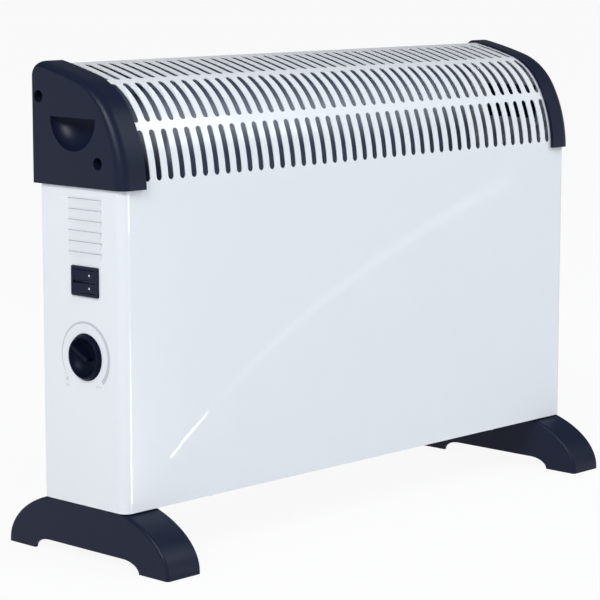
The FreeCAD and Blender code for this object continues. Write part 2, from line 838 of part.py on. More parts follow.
def make_thermostat_strap():
    """A bridge behind the knob that carries the thermostat, held on two studs."""
    wide = strap_width / 2
    inside = -casing_end + sheet
    plate = slab(strap_outer, strap_outer + strap, dial_y - wide, dial_y + wide,
                 dial_z - strap_half_height, dial_z + strap_half_height)
    pieces = []
    for way in (-1, 1):
        leg = sorted((dial_z + way * strap_half_height, dial_z + way * (strap_half_height - strap)))
        toe = sorted((dial_z + way * (strap_half_height - strap),
                      dial_z + way * (strap_half_height + strap_foot)))
        pieces.append(slab(inside, strap_outer + strap, dial_y - wide, dial_y + wide, leg[0], leg[1]))
        pieces.append(slab(inside, inside + strap, dial_y - wide, dial_y + wide, toe[0], toe[1]))
    bridge = plate.fuse(pieces)
    for place in stud_places():
        bridge = bridge.cut(rod(stud_radius + screw_gap, place - X * overrun, X, stud_length + overrun))
    bridge = bridge.cut(rod(spindle_radius + fit_gap, at(strap_outer - overrun, dial_y, dial_z), X,
                            3 * overrun))
    for seat in thermostat_screw_seats():
        bridge = bridge.cut(screw_hole(small_screw, seat, X, strap))
    return bridge


def make_strap_nuts():
    nuts = []
    for place in stud_places():
        nuts.append(hexagon(nut_across, place + X * strap, True, nut_height, stud_radius + pin_gap))
    return nuts


def thermostat_screw_seats():
    return [at(strap_outer, dial_y + way * thermostat_screw_reach, dial_z) for way in (-1, 1)]


def make_thermostat_body():
    start = strap_outer + strap
    block = slab(start, start + thermostat_depth,
                 dial_y - thermostat_width / 2, dial_y + thermostat_width / 2,
                 dial_z - thermostat_height / 2, dial_z + thermostat_height / 2)
    upright = [edge for edge in block.Edges if edge.BoundBox.XLength > thermostat_depth / 2]
    block = block.makeFillet(hub_wall, upright)
    block = block.cut(rod(spindle_radius + spindle_gap, at(start - overrun, dial_y, dial_z), X,
                          thermostat_depth + 2 * overrun))
    for seat in thermostat_screw_seats():
        block = block.cut(rod(small_screw + pin_gap, seat, X, strap + screw_through + fit_gap))
    return block


def blade_faces():
    """The outer faces of the two blades, clear of the spindle's collar."""
    nearest = strap_outer + strap + thermostat_depth + spindle_collar + 2 * fit_gap
    return nearest, nearest + blade_pitch


def blade_y(index):
    return dial_y + (2 * index - 1) * blade_width


def make_thermostat_blades():
    """Two sprung contact blades, each on a post at the bottom of the thermostat's back."""
    back_face = strap_outer + strap + thermostat_depth
    low = dial_z - thermostat_height / 2
    blades = []
    for index, first in enumerate(blade_faces()):
        y = blade_y(index)
        post = slab(back_face, first, y - blade_width / 2, y + blade_width / 2, low, low + blade_post)
        blade = slab(first, first + blade_thick, y - blade_width / 2, y + blade_width / 2,
                     low, low + thermostat_height - blade_post)
        blades.append(post.fuse(blade))
    return blades


def make_thermostat_screws():
    return [screw(small_screw, seat, X, strap) for seat in thermostat_screw_seats()]


# Switch

def rocker_centre(index):
    """The height of a rocker's middle: 0 is the upper one, 1 the lower one."""
    return switch_z + (1 - 2 * index) * (rocker_high / 2 + rocker_gap + rocker_wall / 2)


def pivot_x():
    return bezel_face + rocker_pivot_depth


def make_switch_housing():
    def boxed(x0, x1, long, high):
        return slab(x0, x1, switch_y - long / 2, switch_y + long / 2,
                    switch_z - high / 2, switch_z + high / 2)

    frame = boxed(bezel_face, -casing_end, bezel_long, bezel_high)
    frame = frame.makeFillet(bezel_round, [edge for edge in frame.Edges if edge.BoundBox.XLength > sheet])
    rim = [edge for edge in frame.Edges if abs(edge.BoundBox.XMax - bezel_face) < fit_gap / 2]
    frame = frame.makeFillet(bezel_edge_round, rim)
    housing = frame.fuse(boxed(-casing_end, -casing_end + housing_depth, housing_long, housing_high))
    for index in range(2):
        z = rocker_centre(index)
        half_long = rocker_radius + rocker_gap
        half_high = rocker_high / 2 + rocker_gap
        housing = housing.cut(slab(bezel_face - overrun, bezel_face + pocket_depth,
                                   switch_y - half_long, switch_y + half_long, z - half_high, z + half_high))
        pin = rod(pin_radius + pin_gap, at(pivot_x(), switch_y, z - half_high - pin_length), Z,
                  2 * (half_high + pin_length))
        housing = housing.cut(pin)
    return housing.cut(slab(bezel_face - overrun, bezel_face + rocker_wall_drop,
                            switch_y - rocker_radius - rocker_gap, switch_y + rocker_radius + rocker_gap,
                            switch_z - rocker_wall / 2 - fit_gap, switch_z + rocker_wall / 2 + fit_gap))


def make_rocker(index):
    """A rocker pressed at its front end: two flats in a shallow V, with round ends about its pins."""
    z = rocker_centre(index)
    low = z - rocker_high / 2
    pivot = at(pivot_x(), switch_y, low)
    valley = bezel_face + rocker_valley
    rise = rocker_radius * math.tan(math.radians(rocker_tilt))
    under = bezel_face + rocker_body
    outline = [at(valley, switch_y, low), at(valley - rise, switch_y + rocker_radius, low),
               at(under, switch_y + rocker_radius, low), at(under, switch_y - rocker_radius, low),
               at(valley - rise, switch_y - rocker_radius, low)]
    body = prism(outline, Z * rocker_high).common(rod(rocker_radius, pivot, Z, rocker_high))
    rims = [edge for edge in body.Edges if edge.BoundBox.ZLength < pin_gap and edge.BoundBox.XMin < valley
            and edge.BoundBox.YLength > rocker_radius / 2]
    body = body.makeFillet(bezel_edge_round, rims)
    pins = rod(pin_radius, pivot - Z * (pin_length + rocker_gap / 2), Z,
               rocker_high + 2 * pin_length + rocker_gap)
    rocker = body.fuse(pins)
    rocker.rotate(pivot, Z, rocker_tilt)
    return rocker


def tab_places():
    """The roots of the switch's tabs: one row of three for each rocker, upper row first."""
    rear = -casing_end + housing_depth
    return [[at(rear, switch_y + tab_spacing * k, rocker_centre(index)) for k in (-1, 0, 1)]
            for index in range(2)]


def make_switch_terminals():
    tabs = []
    for row in tab_places():
        for root in row:
            tabs.append(slab(root.x, root.x + tab_length, root.y - tab_thick / 2, root.y + tab_thick / 2,
                             root.z - tab_wide / 2, root.z + tab_wide / 2))
    return tabs


# Heating element and its partition

def coil_ends():
    """Where each wire's two ends pass the partition: the front wire's pair, then the rear wire's."""
    return [[at(shield_x, side * coil_y, coil_heights[0]), at(shield_x, side * coil_y, coil_heights[-1])]
            for side in (-1, 1)]


def make_heat_shield():
    seat = sheet + fit_gap
    plate = heater_block(shield_x, shield_x + sheet, floor_top + 2 * sheet, seat, 3 * sheet + fit_gap)
    half = shield_foot_half
    plate = plate.fuse(slab(shield_x, shield_x + sheet, -half, half, floor_top, floor_top + 3 * sheet))
    plate = plate.fuse(slab(shield_x, shield_x + flange, -half, half, floor_top, floor_top + sheet))
    for pair in coil_ends():
        for place in pair:
            plate = plate.cut(rod(bush_radius, place - X * overrun, X, 2 * overrun))
    plate = plate.cut(rod(cutout_sensor_radius + fit_gap, at(shield_x - overrun, 0, cutout_z), X,
                          2 * overrun))
    for seat in cutout_screw_seats():
        plate = plate.cut(screw_hole(small_screw, seat, X, cutout_plate + sheet))
    for seat in element_screw_seats()[:4]:
        plate = plate.cut(screw_hole(small_screw, seat, X, sheet))
    return plate


def make_ceramic_bushes():
    bushes = []
    bracket_side = shield_x + sheet + bracket_sheet
    for pair in coil_ends():
        for place in pair:
            sleeve = rod(bush_radius - pin_gap, place - X * bush_collar, X,
                         bracket_side - shield_x + bush_collar + bush_reach)
            collar = rod(bush_collar_radius, place - X * bush_collar, X, bush_collar)
            bore = rod(coil_radius + coil_gap, place - X * overrun, X, 4 * overrun)
            bushes.append(sleeve.fuse(collar).cut(bore))
    return bushes


def element_screw_seats():
    """Four seats at the corners of the left bracket, then two on the right bracket's foot."""
    reach_y = element_half_depth - rail_height / 4
    low = element_bottom + rail_height / 3
    high = element_bottom + element_height - rail_height / 3
    seats = [at(shield_x, y, z) for y in (-reach_y, reach_y) for z in (low, high)]
    return seats + [at(element_right - flange / 2, y, floor_top + bracket_sheet) for y in (-reach_y, reach_y)]


def make_left_element_bracket():
    start = shield_x + sheet
    plate = slab(start, start + bracket_sheet, -element_half_depth, element_half_depth,
                 element_bottom, element_bottom + element_height)
    for pair in coil_ends():
        for place in pair:
            plate = plate.cut(rod(bush_radius, place, X, 2 * overrun))
    for seat in element_screw_seats()[:4]:
        plate = plate.cut(screw_hole(small_screw, seat, X, sheet + bracket_sheet))
    return plate


def make_right_element_bracket():
    plate = slab(element_right, element_right + bracket_sheet, -element_half_depth, element_half_depth,
                 floor_top, element_bottom + element_height)
    foot = slab(element_right - flange, element_right, -element_half_depth, element_half_depth,
                floor_top, floor_top + bracket_sheet)
    bracket = plate.fuse(foot)
    for seat in element_screw_seats()[4:]:
        bracket = bracket.cut(screw_hole(small_screw, seat, -Z, bracket_sheet))
    return bracket


def make_element_screws():
    seats = element_screw_seats()
    screws = [screw(small_screw, seat, X, sheet + bracket_sheet) for seat in seats[:4]]
    return screws + [screw(small_screw, seat, -Z, bracket_sheet + sheet) for seat in seats[4:]]


def make_element_rails():
    start = shield_x + sheet + bracket_sheet
    rails = []
    for way in (-1, 1):
        y = sorted((way * element_half_depth, way * (element_half_depth - rail_thick)))
        rails.append(slab(start, element_right, y[0], y[1], element_mid - rail_height / 2,
                          element_mid + rail_height / 2))
    return rails


def make_mica_cards():
    cards = []
    half = element_half_depth - rail_thick
    span = coil_right - coil_left - 2 * coil_end_gap
    for index in range(card_count):
        x = coil_left + coil_end_gap + span * index / (card_count - 1)
        card = slab(x - card_thick / 2, x + card_thick / 2, -half, half,
                    element_bottom, element_bottom + element_height)
        for y in (-coil_y, coil_y):
            for z in coil_heights:
                card = card.cut(rod(coil_radius + coil_gap, at(x - overrun, y, z), X, 2 * overrun))
        cards.append(card)
    return cards


def make_element(y):
    """One wound wire, drawn as its outer round: straight passes through the cards, with half-round turns."""
    bend = coil_pitch / 2
    edges = []
    for index, z in enumerate(coil_heights):
        outward = index % 2 == 0
        first = index == 0
        last = index == coil_passes - 1
        left = shield_x - coil_tail if first or last else coil_left
        ends = (left, coil_right) if outward else (coil_right, left)
        edges.append(Part.makeLine(at(ends[0], y, z), at(ends[1], y, z)))
        if not last:
            x = coil_right if outward else coil_left
            way = 1 if outward else -1
            edges.append(Part.Arc(at(x, y, z), at(x + way * bend, y, z + bend),
                                  at(x, y, z + coil_pitch)).toShape())
    path = Part.Wire(edges)
    start = at(shield_x - coil_tail, y, coil_heights[0])
    section = Part.Wire(Part.makeCircle(coil_radius, start, X))
    return path.makePipeShell([section], True, False)


def cutout_screw_seats():
    return [at(shield_x - cutout_plate, way * cutout_screw_y, cutout_z) for way in (-1, 1)]


def cutout_tabs():
    x = shield_x - cutout_plate - cutout_height
    return [at(x, way * cutout_radius / 2, cutout_z) for way in (-1, 1)]


def make_thermal_cutout():
    plate = slab(shield_x - cutout_plate, shield_x, -cutout_plate_half, cutout_plate_half,
                 cutout_z - cutout_plate_half_height, cutout_z + cutout_plate_half_height)
    body = rod(cutout_radius, at(shield_x - cutout_plate - cutout_height, 0, cutout_z), X, cutout_height)
    sensor = rod(cutout_sensor_radius, at(shield_x - cutout_plate, 0, cutout_z), X,
                 cutout_plate + cutout_sensor)
    tabs = [slab(root.x - tab_length / 2, root.x, root.y - tab_thick / 2, root.y + tab_thick / 2,
                 root.z - tab_wide / 2, root.z + tab_wide / 2) for root in cutout_tabs()]
    cutout = plate.fuse([body, sensor] + tabs)
    for seat in cutout_screw_seats():
        cutout = cutout.cut(screw_hole(small_screw, seat, X, cutout_plate))
    return cutout


def make_cutout_screws():
    return [screw(small_screw, seat, X, cutout_plate + sheet) for seat in cutout_screw_seats()]


# Terminal block, cord inlet and earth

def block_way(index):
    """The top of the terminal block over one of its ways, counted from the front."""
    y = block_y + block_way_pitch * (index - (block_ways - 1) / 2)
    return at(-casing_end + block_x, y, floor_top + block_high)


def make_terminal_block():
    x = -casing_end + block_x
    top = floor_top + block_high
    block = slab(x - block_deep / 2, x + block_deep / 2, block_y - block_long / 2, block_y + block_long / 2,
                 floor_top, top)
    for index in range(block_ways - 1):
        y = (block_way(index).y + block_way(index + 1).y) / 2
        block = block.cut(slab(x - block_deep, x + block_deep, y - block_groove / 2, y + block_groove / 2,
                               top - block_groove_depth, top + overrun))
    for index in range(block_ways):
        block = block.cut(rod(small_screw + pin_gap, block_way(index) - Z * (screw_through + fit_gap), Z,
                              screw_through + overrun))
    return block


def make_terminal_screws():
    return [screw(small_screw, block_way(index), -Z, 0) for index in range(block_ways)]


def make_cord_inlet():
    outside = back - sheet
    centre = at(-casing_end + inlet_x, outside, inlet_z)
    collar = rod(inlet_collar_radius, centre, Y, inlet_collar)
    collar = collar.makeFillet(inlet_collar / 3, [edge for edge in collar.Edges
                                                   if edge.BoundBox.YMin > outside + inlet_collar / 2])
    sleeve = rod(inlet_radius, centre, -Y, inlet_sleeve)
    return collar.fuse(sleeve).cut(rod(inlet_bore, centre + Y * overrun, -Y, inlet_sleeve + 2 * overrun))


def make_inlet_nut():
    centre = at(-casing_end + inlet_x, back - 2 * sheet - inlet_nut_height, inlet_z)
    return hexagon(inlet_nut_across, centre, False, inlet_nut_height, inlet_radius + pin_gap)


def earth_place():
    return at(-casing_end + earth_x, earth_y, casing_bottom)


def earth_grip():
    return sheet + 2 * nut_height


def make_earth_stud():
    """A screw that stands up through the base, with its nut."""
    stud = screw(cap_screw, earth_place(), Z, earth_grip())
    washer = rod(cap_screw * head_radius_share, earth_place() + Z * sheet, Z, nut_height)
    return stud.fuse(washer)


# Leads

def lead(points, bend=lead_bend):
    """One lead along straight runs joined by round bends."""
    edges = []
    start = points[0]
    for index in range(1, len(points) - 1):
        here = points[index]
        before = points[index - 1] - here
        after = points[index + 1] - here
        half_turn = (math.pi - before.getAngle(after)) / 2
        reach = min(bend * math.tan(half_turn), min(before.Length, after.Length) * bend_share)
        radius = reach / math.tan(half_turn)
        enter = here + before.normalize() * reach
        leave = here + after.normalize() * reach
        middle = here + (before + after).normalize() * (radius / math.cos(half_turn) - radius)
        edges.append(Part.makeLine(start, enter))
        edges.append(Part.Arc(enter, middle, leave).toShape())
        start = leave
    edges.append(Part.makeLine(start, points[-1]))
    path = Part.Wire(edges)
    along = (points[1] - points[0]).normalize()
    section = Part.Wire(Part.makeCircle(lead_radius, points[0], along))
    return path.makePipeShell([section], True, False)


def lane(y, z, towards_end=0):
    """A point of the lane that the leads share, between the controls and the partition."""
    return at(-casing_end + lead_lane - towards_end, y, z)


def block_start(index, aside=0):
    return block_way(index) + Z * (head_height(small_screw) + lead_gap) + Y * aside


def coil_start(element, end):
    """Where a lead meets a heating wire: element 0 is the front one, end 0 the lower one."""
    return coil_ends()[element][end] - X * (coil_tail + lead_gap)


def halfway(one, other):
    return (one.z + other.z) / 2


def make_live_leads():
    """Supply to the thermostat, on to the cut-out and the switch, and from each rocker to its element."""
    tabs = [[root + X * (tab_length + lead_gap) for root in row] for row in tab_places()]
    cut = [root - X * (tab_length / 2 + lead_gap) for root in cutout_tabs()]
    low = dial_z - thermostat_height / 2
    first, second = blade_faces()
    blade_end = at(first + blade_thick / 2, blade_y(0), low - lead_gap)
    blade_side = at(second + blade_thick + lead_gap, blade_y(1), low + blade_post / 2)
    supply = block_start(0)
    leads = [lead([supply, supply + Z * lead_rise, blade_end - Z * lead_rise, blade_end])]
    leads.append(lead([blade_side, blade_side + X * lead_out, lane(cut[0].y, cut[0].z), cut[0]]))
    top = tabs[0][2]
    leads.append(lead([cut[1], lane(cut[1].y, cut[1].z), lane(top.y, top.z), top]))
    upper, lower = tabs[0][1], tabs[1][1]
    out = X * (2 * link_bend)
    leads.append(lead([upper, upper + out, lower + out, lower], link_bend))
    away, end = tabs[0][0], coil_start(0, 1)
    leads.append(lead([away, away + X * lead_out, lane(-lead_side, halfway(away, end)),
                       lane(end.y, end.z), end]))
    away, end = tabs[1][2], coil_start(1, 1)
    leads.append(lead([away, away + X * (lead_out - link_bend + lead_gap * 2),
                       lane(lead_side, halfway(away, end), lead_bend), lane(end.y, end.z), end]))
    return leads


def make_neutral_leads():
    """From the terminal block's middle way to the lower end of each heating wire."""
    leads = []
    for element, aside in ((0, -lead_pair), (1, lead_pair)):
        start = block_start(1, aside)
        end = coil_start(element, 0)
        leads.append(lead([start, start + Z * lead_rise, lane(end.y, end.z - lead_rise),
                           lane(end.y, end.z), end]))
    return leads


def make_earth_lead():
    start = block_start(2)
    end = earth_place() + Z * (earth_grip() + screw_through + lead_gap)
    level = start.z + lead_rise / 2
    return lead([start, at(start.x, start.y, level), lane(start.y, level), lane(end.y, level),
                 at(end.x, end.y, level), end])


def main():
    os.makedirs("parts", exist_ok=True)
    save("front_casing", make_front_casing())
    save("rear_panel", make_rear_panel())
    save("left_end_panel", make_left_end_panel())
    save("right_end_panel", make_right_end_panel())
    save("base_grille", make_base_grille())
    left_cap = make_left_cap()
    save("left_cap", left_cap)
    save("right_cap", mirrored(left_cap))
    bracket = make_left_cap_bracket()
    save("left_cap_bracket", bracket)
    save("right_cap_bracket", mirrored(bracket))
    save("cap_screws", *make_cap_screws())
    foot = make_left_foot()
    save("left_foot", foot)
    save("right_foot", mirrored(foot))
    save("foot_screws", *make_foot_screws())
    save("rear_screws", *make_rear_screws())
    save("base_screws", *make_base_screws())
    save("thermostat_knob", make_thermostat_knob())
    save("thermostat_spindle", make_thermostat_spindle())
    save("thermostat_strap", make_thermostat_strap())
    save("strap_nuts", *make_strap_nuts())
    save("thermostat_body", make_thermostat_body())
    save("thermostat_blades", *make_thermostat_blades())
    save("thermostat_screws", *make_thermostat_screws())
    save("switch_housing", make_switch_housing())
    save("upper_rocker", make_rocker(0))
    save("lower_rocker", make_rocker(1))
    save("switch_terminals", *make_switch_terminals())
    save("heat_shield", make_heat_shield())
    save("ceramic_bushes", *make_ceramic_bushes())
    save("left_element_bracket", make_left_element_bracket())
    save("right_element_bracket", make_right_element_bracket())
    save("element_screws", *make_element_screws())
    save("element_rails", *make_element_rails())
    save("mica_cards", *make_mica_cards())
    save("front_element", make_element(-coil_y))
    save("rear_element", make_element(coil_y))
    save("thermal_cutout", make_thermal_cutout())
    save("cutout_screws", *make_cutout_screws())
    save("terminal_block", make_terminal_block())
    save("terminal_screws", *make_terminal_screws())
    save("cord_inlet", make_cord_inlet())
    save("inlet_nut", make_inlet_nut())
    save("earth_stud", make_earth_stud())
    save("live_leads", *make_live_leads())
    save("neutral_leads", *make_neutral_leads())
    save("earth_lead", make_earth_lead())


main()
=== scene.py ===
import json
import math

import bmesh
import bpy
from bpy.props import FloatProperty, FloatVectorProperty, IntProperty, PointerProperty
from mathutils import Matrix, Vector


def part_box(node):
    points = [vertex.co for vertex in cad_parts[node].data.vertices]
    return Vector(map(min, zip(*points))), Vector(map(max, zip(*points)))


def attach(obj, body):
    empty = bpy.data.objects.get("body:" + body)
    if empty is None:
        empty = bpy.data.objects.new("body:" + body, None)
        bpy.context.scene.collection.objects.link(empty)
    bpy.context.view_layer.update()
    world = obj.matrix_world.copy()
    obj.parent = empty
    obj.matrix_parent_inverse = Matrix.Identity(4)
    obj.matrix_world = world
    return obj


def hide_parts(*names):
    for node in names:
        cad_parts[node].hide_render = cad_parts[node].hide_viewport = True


bl_info = {
    "name": "Convector heater",
    "version": (1, 0, 0),
    "blender": (4, 5, 0),
    "location": "View3D > Sidebar > Heater",
    "description": "Finishes, markings and studio for a free-standing convector heater",
    "category": "Object",
}

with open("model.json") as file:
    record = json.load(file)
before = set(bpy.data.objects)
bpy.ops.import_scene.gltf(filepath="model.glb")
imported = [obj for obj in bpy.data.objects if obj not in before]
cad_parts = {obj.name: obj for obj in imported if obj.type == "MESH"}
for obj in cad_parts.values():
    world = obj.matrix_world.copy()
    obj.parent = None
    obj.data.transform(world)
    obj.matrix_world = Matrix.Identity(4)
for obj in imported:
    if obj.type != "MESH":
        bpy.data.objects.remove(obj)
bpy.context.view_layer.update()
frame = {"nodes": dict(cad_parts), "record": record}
NODES = frame["nodes"]
SLOT_OF = {part["node"]: part["material_slot"] for part in frame["record"]["subparts"]}
BODY_OF = {node: body for body, nodes in frame["record"]["behaviour"]["bodies"].items() for node in nodes}
MM = 0.001
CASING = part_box("front_casing")
CURVE_RISE = 100 * MM           # height of the casing's curve
BACK_ROUND = 10 * MM            # depth of the rounding along the casing's back
MID_HEIGHT = 0.2                # below it a level face looks down, above it up
END_FACE = 0.7                  # share of a normal along the heater that makes a face an end's
INWARD_FACE = -0.35             # lean against the way out below which a face looks inwards
CAP_SMOOTH = 46.0               # degrees below which an edge is shaded smooth
FOOT_SMOOTH = 32.0
KNOB_SMOOTH = 28.0
PLAIN_SMOOTH = 30.0
SAME_PLACE = 0.002 * MM         # under which two corners of a mesh are one
DOT_PLACE = 0.45                # of a rocker's half depth, from its middle to the front
SCALE_START = math.radians(-35)  # turn of the thin end from straight back, counted over the top
SCALE_SWEEP = math.radians(259)
WORDS = (                       # text, y and z of its middle
    ("MIN", 17.2 * MM, 148.1 * MM),
    ("MAX", -21.6 * MM, 150.8 * MM),
)
FROST_MARK = (17.8 * MM, 153.4 * MM)  # y and z of its middle
STROKES = (0, 60, 120)          # degrees of the frost mark's strokes
STAR_SLIM = 8                   # length of a stroke against its width
STAND_OFF = 50 * MM             # from the knob to the start of the line that finds the end panel
DOT_SIDES = 32
WIRE_WAVES = 200.0              # gives a turn of the heating wire every 1.6 mm
WHITE = (1, 1, 1, 1)

# The stage, in metres and watts
FLOOR_RADIUS = 14
FLOOR_SIDES = 96
VIEW_END = 100                  # how far the camera sees
WALL_TOP = 0.06                 # upward share of a mirrored direction where the walls start to darken
CEILING_START = 0.25            # and where they have become the ceiling
STRIP_HEIGHT = 2 * MM
STRIP_STEPS = 24
CORNER_STRIP = 1.4              # strength of the corner's strip against its card
STRIPS = (                      # name, bent line along the floor, width at its near and far end
    ("studio_strip", ((0.26, -0.507), (1.04, -1.08), (2.45, -1.835)), 4 * MM, 44 * MM),
    ("studio_spark", ((0.028, -0.338), (0.11, -0.4), (0.215, -0.476)), 1.9 * MM, 1.1 * MM),
    ("studio_corner", ((-0.163, -0.244), (0.1, -0.66), (0.36, -1.07)), 50 * MM, 60 * MM),
)
CARDS = (                       # name, place, aim, width and height
    ("studio_card", (0.2, -1.0, 0.175), (-0.285, -0.052, 0.3), (0.36, 0.05)),
    ("studio_softbox", (-1.7, -0.93, 1.45), (-0.29, 0, 0.38), (0.5, 0.5)),
)
LAMPS = (                       # name, place, aim, side, power, tint
    ("key_lamp", (-2.5, -0.9, 2.2), (0, 0, 0.25), 1.2, 56, (1, 1, 1)),
    ("front_lamp", (1.7, -2.4, 2.3), (0.1, 0, 0.25), 1.8, 43, (0.93, 0.975, 1)),
)


def length(name, description, default):
    """A size that a user may change, given in metres."""
    return FloatProperty(name=name, description=description, default=default, unit="LENGTH", precision=5)


def colour(name, description, default):
    """A colour that a user may change."""
    return FloatVectorProperty(name=name, description=description, default=default, size=4,
                               subtype="COLOR", min=0, max=1)


def share(name, description, default):
    """A share from 0 to 1 that a user may change."""
    return FloatProperty(name=name, description=description, default=default, min=0, max=1, subtype="FACTOR")


def brightness(name, description, default):
    """The strength of a light that a user may change."""
    return FloatProperty(name=name, description=description, default=default, min=0)


def turning(name, description, degrees):
    """An angle that a user may change."""
    return FloatProperty(name=name, description=description, default=math.radians(degrees), subtype="ANGLE")


class HeaterPaint(bpy.types.PropertyGroup):
    """The powder coat of the casing."""

    white: colour("Coat", "Colour of the powder coat", (0.81, 0.845, 0.89, 1))
    # Painted shade: the coat turns to this deeper colour in the hollows between its waves.
    shade: colour("Coat in its hollows", "Slightly deeper colour between the coat's waves",
                  (0.775, 0.812, 0.865, 1))
    # Painted shade: this dark colour on the inward faces stands in for the shade inside the casing.
    inside: colour("Inside", "Thin primer on the faces that look inwards", (0.10, 0.125, 0.20, 1))
    # Painted light: the next three settings paint a lighter band on the inward faces, at the height where
    # light through the outlet slots falls.
    painted_light_band: colour("Overspray", "Lighter band of primer behind the outlet slots", (0.62, 0.68, 0.80, 1))
    band: length("Band", "Height of the lightest line of the overspray", 356 * MM)
    band_fade: length("Band fade", "Height over which the overspray fades", 32 * MM)
    gloss: share("Roughness", "Roughness of the coat", 0.3)
    wave: length("Wave", "Size of the coat's waves", 2.6 * MM)
    wave_height: length("Wave height", "Height of the coat's waves", 0.006 * MM)


class HeaterPlastic(bpy.types.PropertyGroup):
    """The moulded plastic of the caps, the feet, the knob and the switch."""

    dark: colour("Plastic", "Colour of the caps and the feet", (0.0050, 0.0086, 0.0265, 1))
    pale: colour("Plastic on its grain", "Colour on top of the grain", (0.0088, 0.0135, 0.0355, 1))
    # Painted shade: the knob is darker than the caps' plastic, standing in for the shade in its dished face.
    knob: colour("Knob", "Colour of the knob", (0.0018, 0.0032, 0.012, 1))
    gloss: share("Roughness", "Roughness of the caps and the feet", 0.38)
    grain: length("Grain", "Size of the spark-eroded grain", 0.55 * MM)
    grain_height: length("Grain height", "Height of the grain", 0.012 * MM)


class HeaterPrint(bpy.types.PropertyGroup):
    """The printed dial scale and the dots on the rockers."""

    ink: colour("Ink", "Colour of the printed scale", (0.50, 0.53, 0.58, 1))
    dot: colour("Dot", "Colour of the rockers' dots", (0.72, 0.74, 0.8, 1))
    radius: length("Scale radius", "Radius of the scale's outer edge", 30 * MM)
    thin: length("Thin end", "Stroke at the cold end of the scale", 0.6 * MM)
    thick: length("Thick end", "Stroke at the hot end of the scale", 3.8 * MM)
    layer: length("Ink layer", "Thickness of the ink", 0.04 * MM)
    word: length("Words", "Size of the words at the scale's ends", 3.1 * MM)
    star: length("Frost mark", "Size of the frost mark", 4 * MM)
    dot_radius: length("Dot radius", "Radius of the rockers' dots", 0.85 * MM)
    steps: IntProperty(name="Steps", description="Faces along the scale", default=96, min=24)


class HeaterScrews(bpy.types.PropertyGroup):
    """The cross recess of the screws."""

    recess_share: share("Recess", "Length of the cross against the head", 0.62)
    recess_depth: length("Recess depth", "Depth of the cross", 0.9 * MM)
    recess_width: length("Recess width", "Width of the cross", 0.75 * MM)


class HeaterStudio(bpy.types.PropertyGroup):
    """The white studio, its lamps and the camera."""

    floor: colour("Floor", "Colour of the floor", (0.66, 0.67, 0.69, 1))
    floor_glow: share("Floor glow", "How much of the floor is seen as pure white", 0.92)
    sky: brightness("Sky", "Strength of the even light", 0.5)
    ceiling: share("Ceiling", "How bright the studio's ceiling is when it is mirrored", 0.15)
    strip: brightness("Strip light", "Strength of the long strip on the floor", 2.4)
    spark: brightness("Near strip", "Strength of the short strip before it", 30)
    card: brightness("Corner lights", "Strength of the lights mirrored in the near corner", 12)
    softbox: brightness("Softbox", "Strength of the softbox mirrored in rounded edges", 20)
    camera_x: length("Camera X", "Camera's place along the heater", -1.5717)
    camera_y: length("Camera Y", "Camera's place from front to back", -1.4658)
    camera_z: length("Camera Z", "Camera's height", 0.5172)
    yaw: turning("Yaw", "Turn of the view from +Y towards +X", 46.585)
    pitch: turning("Pitch", "Downward tilt of the view", 8.627)
    roll: turning("Roll", "Roll of the view", 0.045)
    lens: FloatProperty(name="Lens", description="Focal length in millimetres", default=142.56)
    shift_x: FloatProperty(name="Shift X", description="Sideways shift of the view", default=-0.0097)
    shift_y: FloatProperty(name="Shift Y", description="Upward shift of the view", default=-0.0037)


# Shader values and finishes


class Value:
    """A number or vector on its way through a material: sums written on it add Math nodes."""

    def __init__(self, finish, socket):
        self.finish = finish
        self.socket = socket

    def sum(self, operation, first, second):
        return self.finish.add("ShaderNodeMath", {"operation": operation}, {0: first, 1: second})

    def __add__(self, other):
        return self.sum("ADD", self, other)

    __radd__ = __add__

    def __sub__(self, other):
        return self.sum("SUBTRACT", self, other)

    def __rsub__(self, other):
        return self.sum("SUBTRACT", other, self)

    def __mul__(self, other):
        return self.sum("MULTIPLY", self, other)

    __rmul__ = __mul__


class Nodes:
    """The node tree of a material or of the sky."""

    def __init__(self, owner):
        owner.use_nodes = True
        self.owner = owner
        self.tree = owner.node_tree

    def add(self, kind, settings=None, sockets=None, output=0):
        """One node: its settings first, then what its sockets hold or are linked to."""
        node = self.tree.nodes.new(kind)
        for name, value in (settings or {}).items():
            setattr(node, name, value)
        for name, value in (sockets or {}).items():
            self.join(node.inputs[name], value)
        return Value(self, node.outputs[output])

    def join(self, socket, value):
        if isinstance(value, Value):
            self.tree.links.new(value.socket, socket)
        else:
            socket.default_value = value

    def mirrored(self):
        """1 for what is seen in a mirror."""
        return self.add("ShaderNodeLightPath", output="Is Glossy Ray")

    def seen(self):
        """1 for what is seen directly or through glass."""
        camera = self.add("ShaderNodeLightPath", output="Is Camera Ray")
        glass = self.add("ShaderNodeLightPath", output="Is Transmission Ray")
        return self.add("ShaderNodeMath", {"operation": "MAXIMUM"}, {0: camera, 1: glass})


class Finish(Nodes):
    """One material: a Principled shader and the nodes that feed it."""

    def __init__(self, name, **sockets):
        self.material = bpy.data.materials.new(name)
        super().__init__(self.material)
        self.shader = self.tree.nodes["Principled BSDF"]
        self.place = self.add("ShaderNodeTexCoord", output="Object")
        for socket, value in sockets.items():
            self.feed(socket.replace("_", " "), value)

    def feed(self, socket, value):
        self.join(self.shader.inputs[socket], value)

    def noise(self, size, detail=2.0):
        """Noise from 0 to 1 with features of the given size in metres."""
        return self.add("ShaderNodeTexNoise", {}, {"Vector": self.place, "Scale": 1 / size, "Detail": detail})

    def cells(self, size, output=0):
        """Cells of the given size in metres: the way to the middle of each, or its chance colour."""
        return self.add("ShaderNodeTexVoronoi", {}, {"Vector": self.place, "Scale": 1 / size}, output)

    def blend(self, mask, below, above):
        """One colour over another through a mask."""
        return self.add("ShaderNodeMix", {"data_type": "RGBA"}, {0: mask, 6: below, 7: above}, 2)

    def bump(self, height, distance):
        """Relief of the given real height in metres."""
        self.feed("Normal", self.add("ShaderNodeBump", {}, {"Height": height, "Distance": distance}))


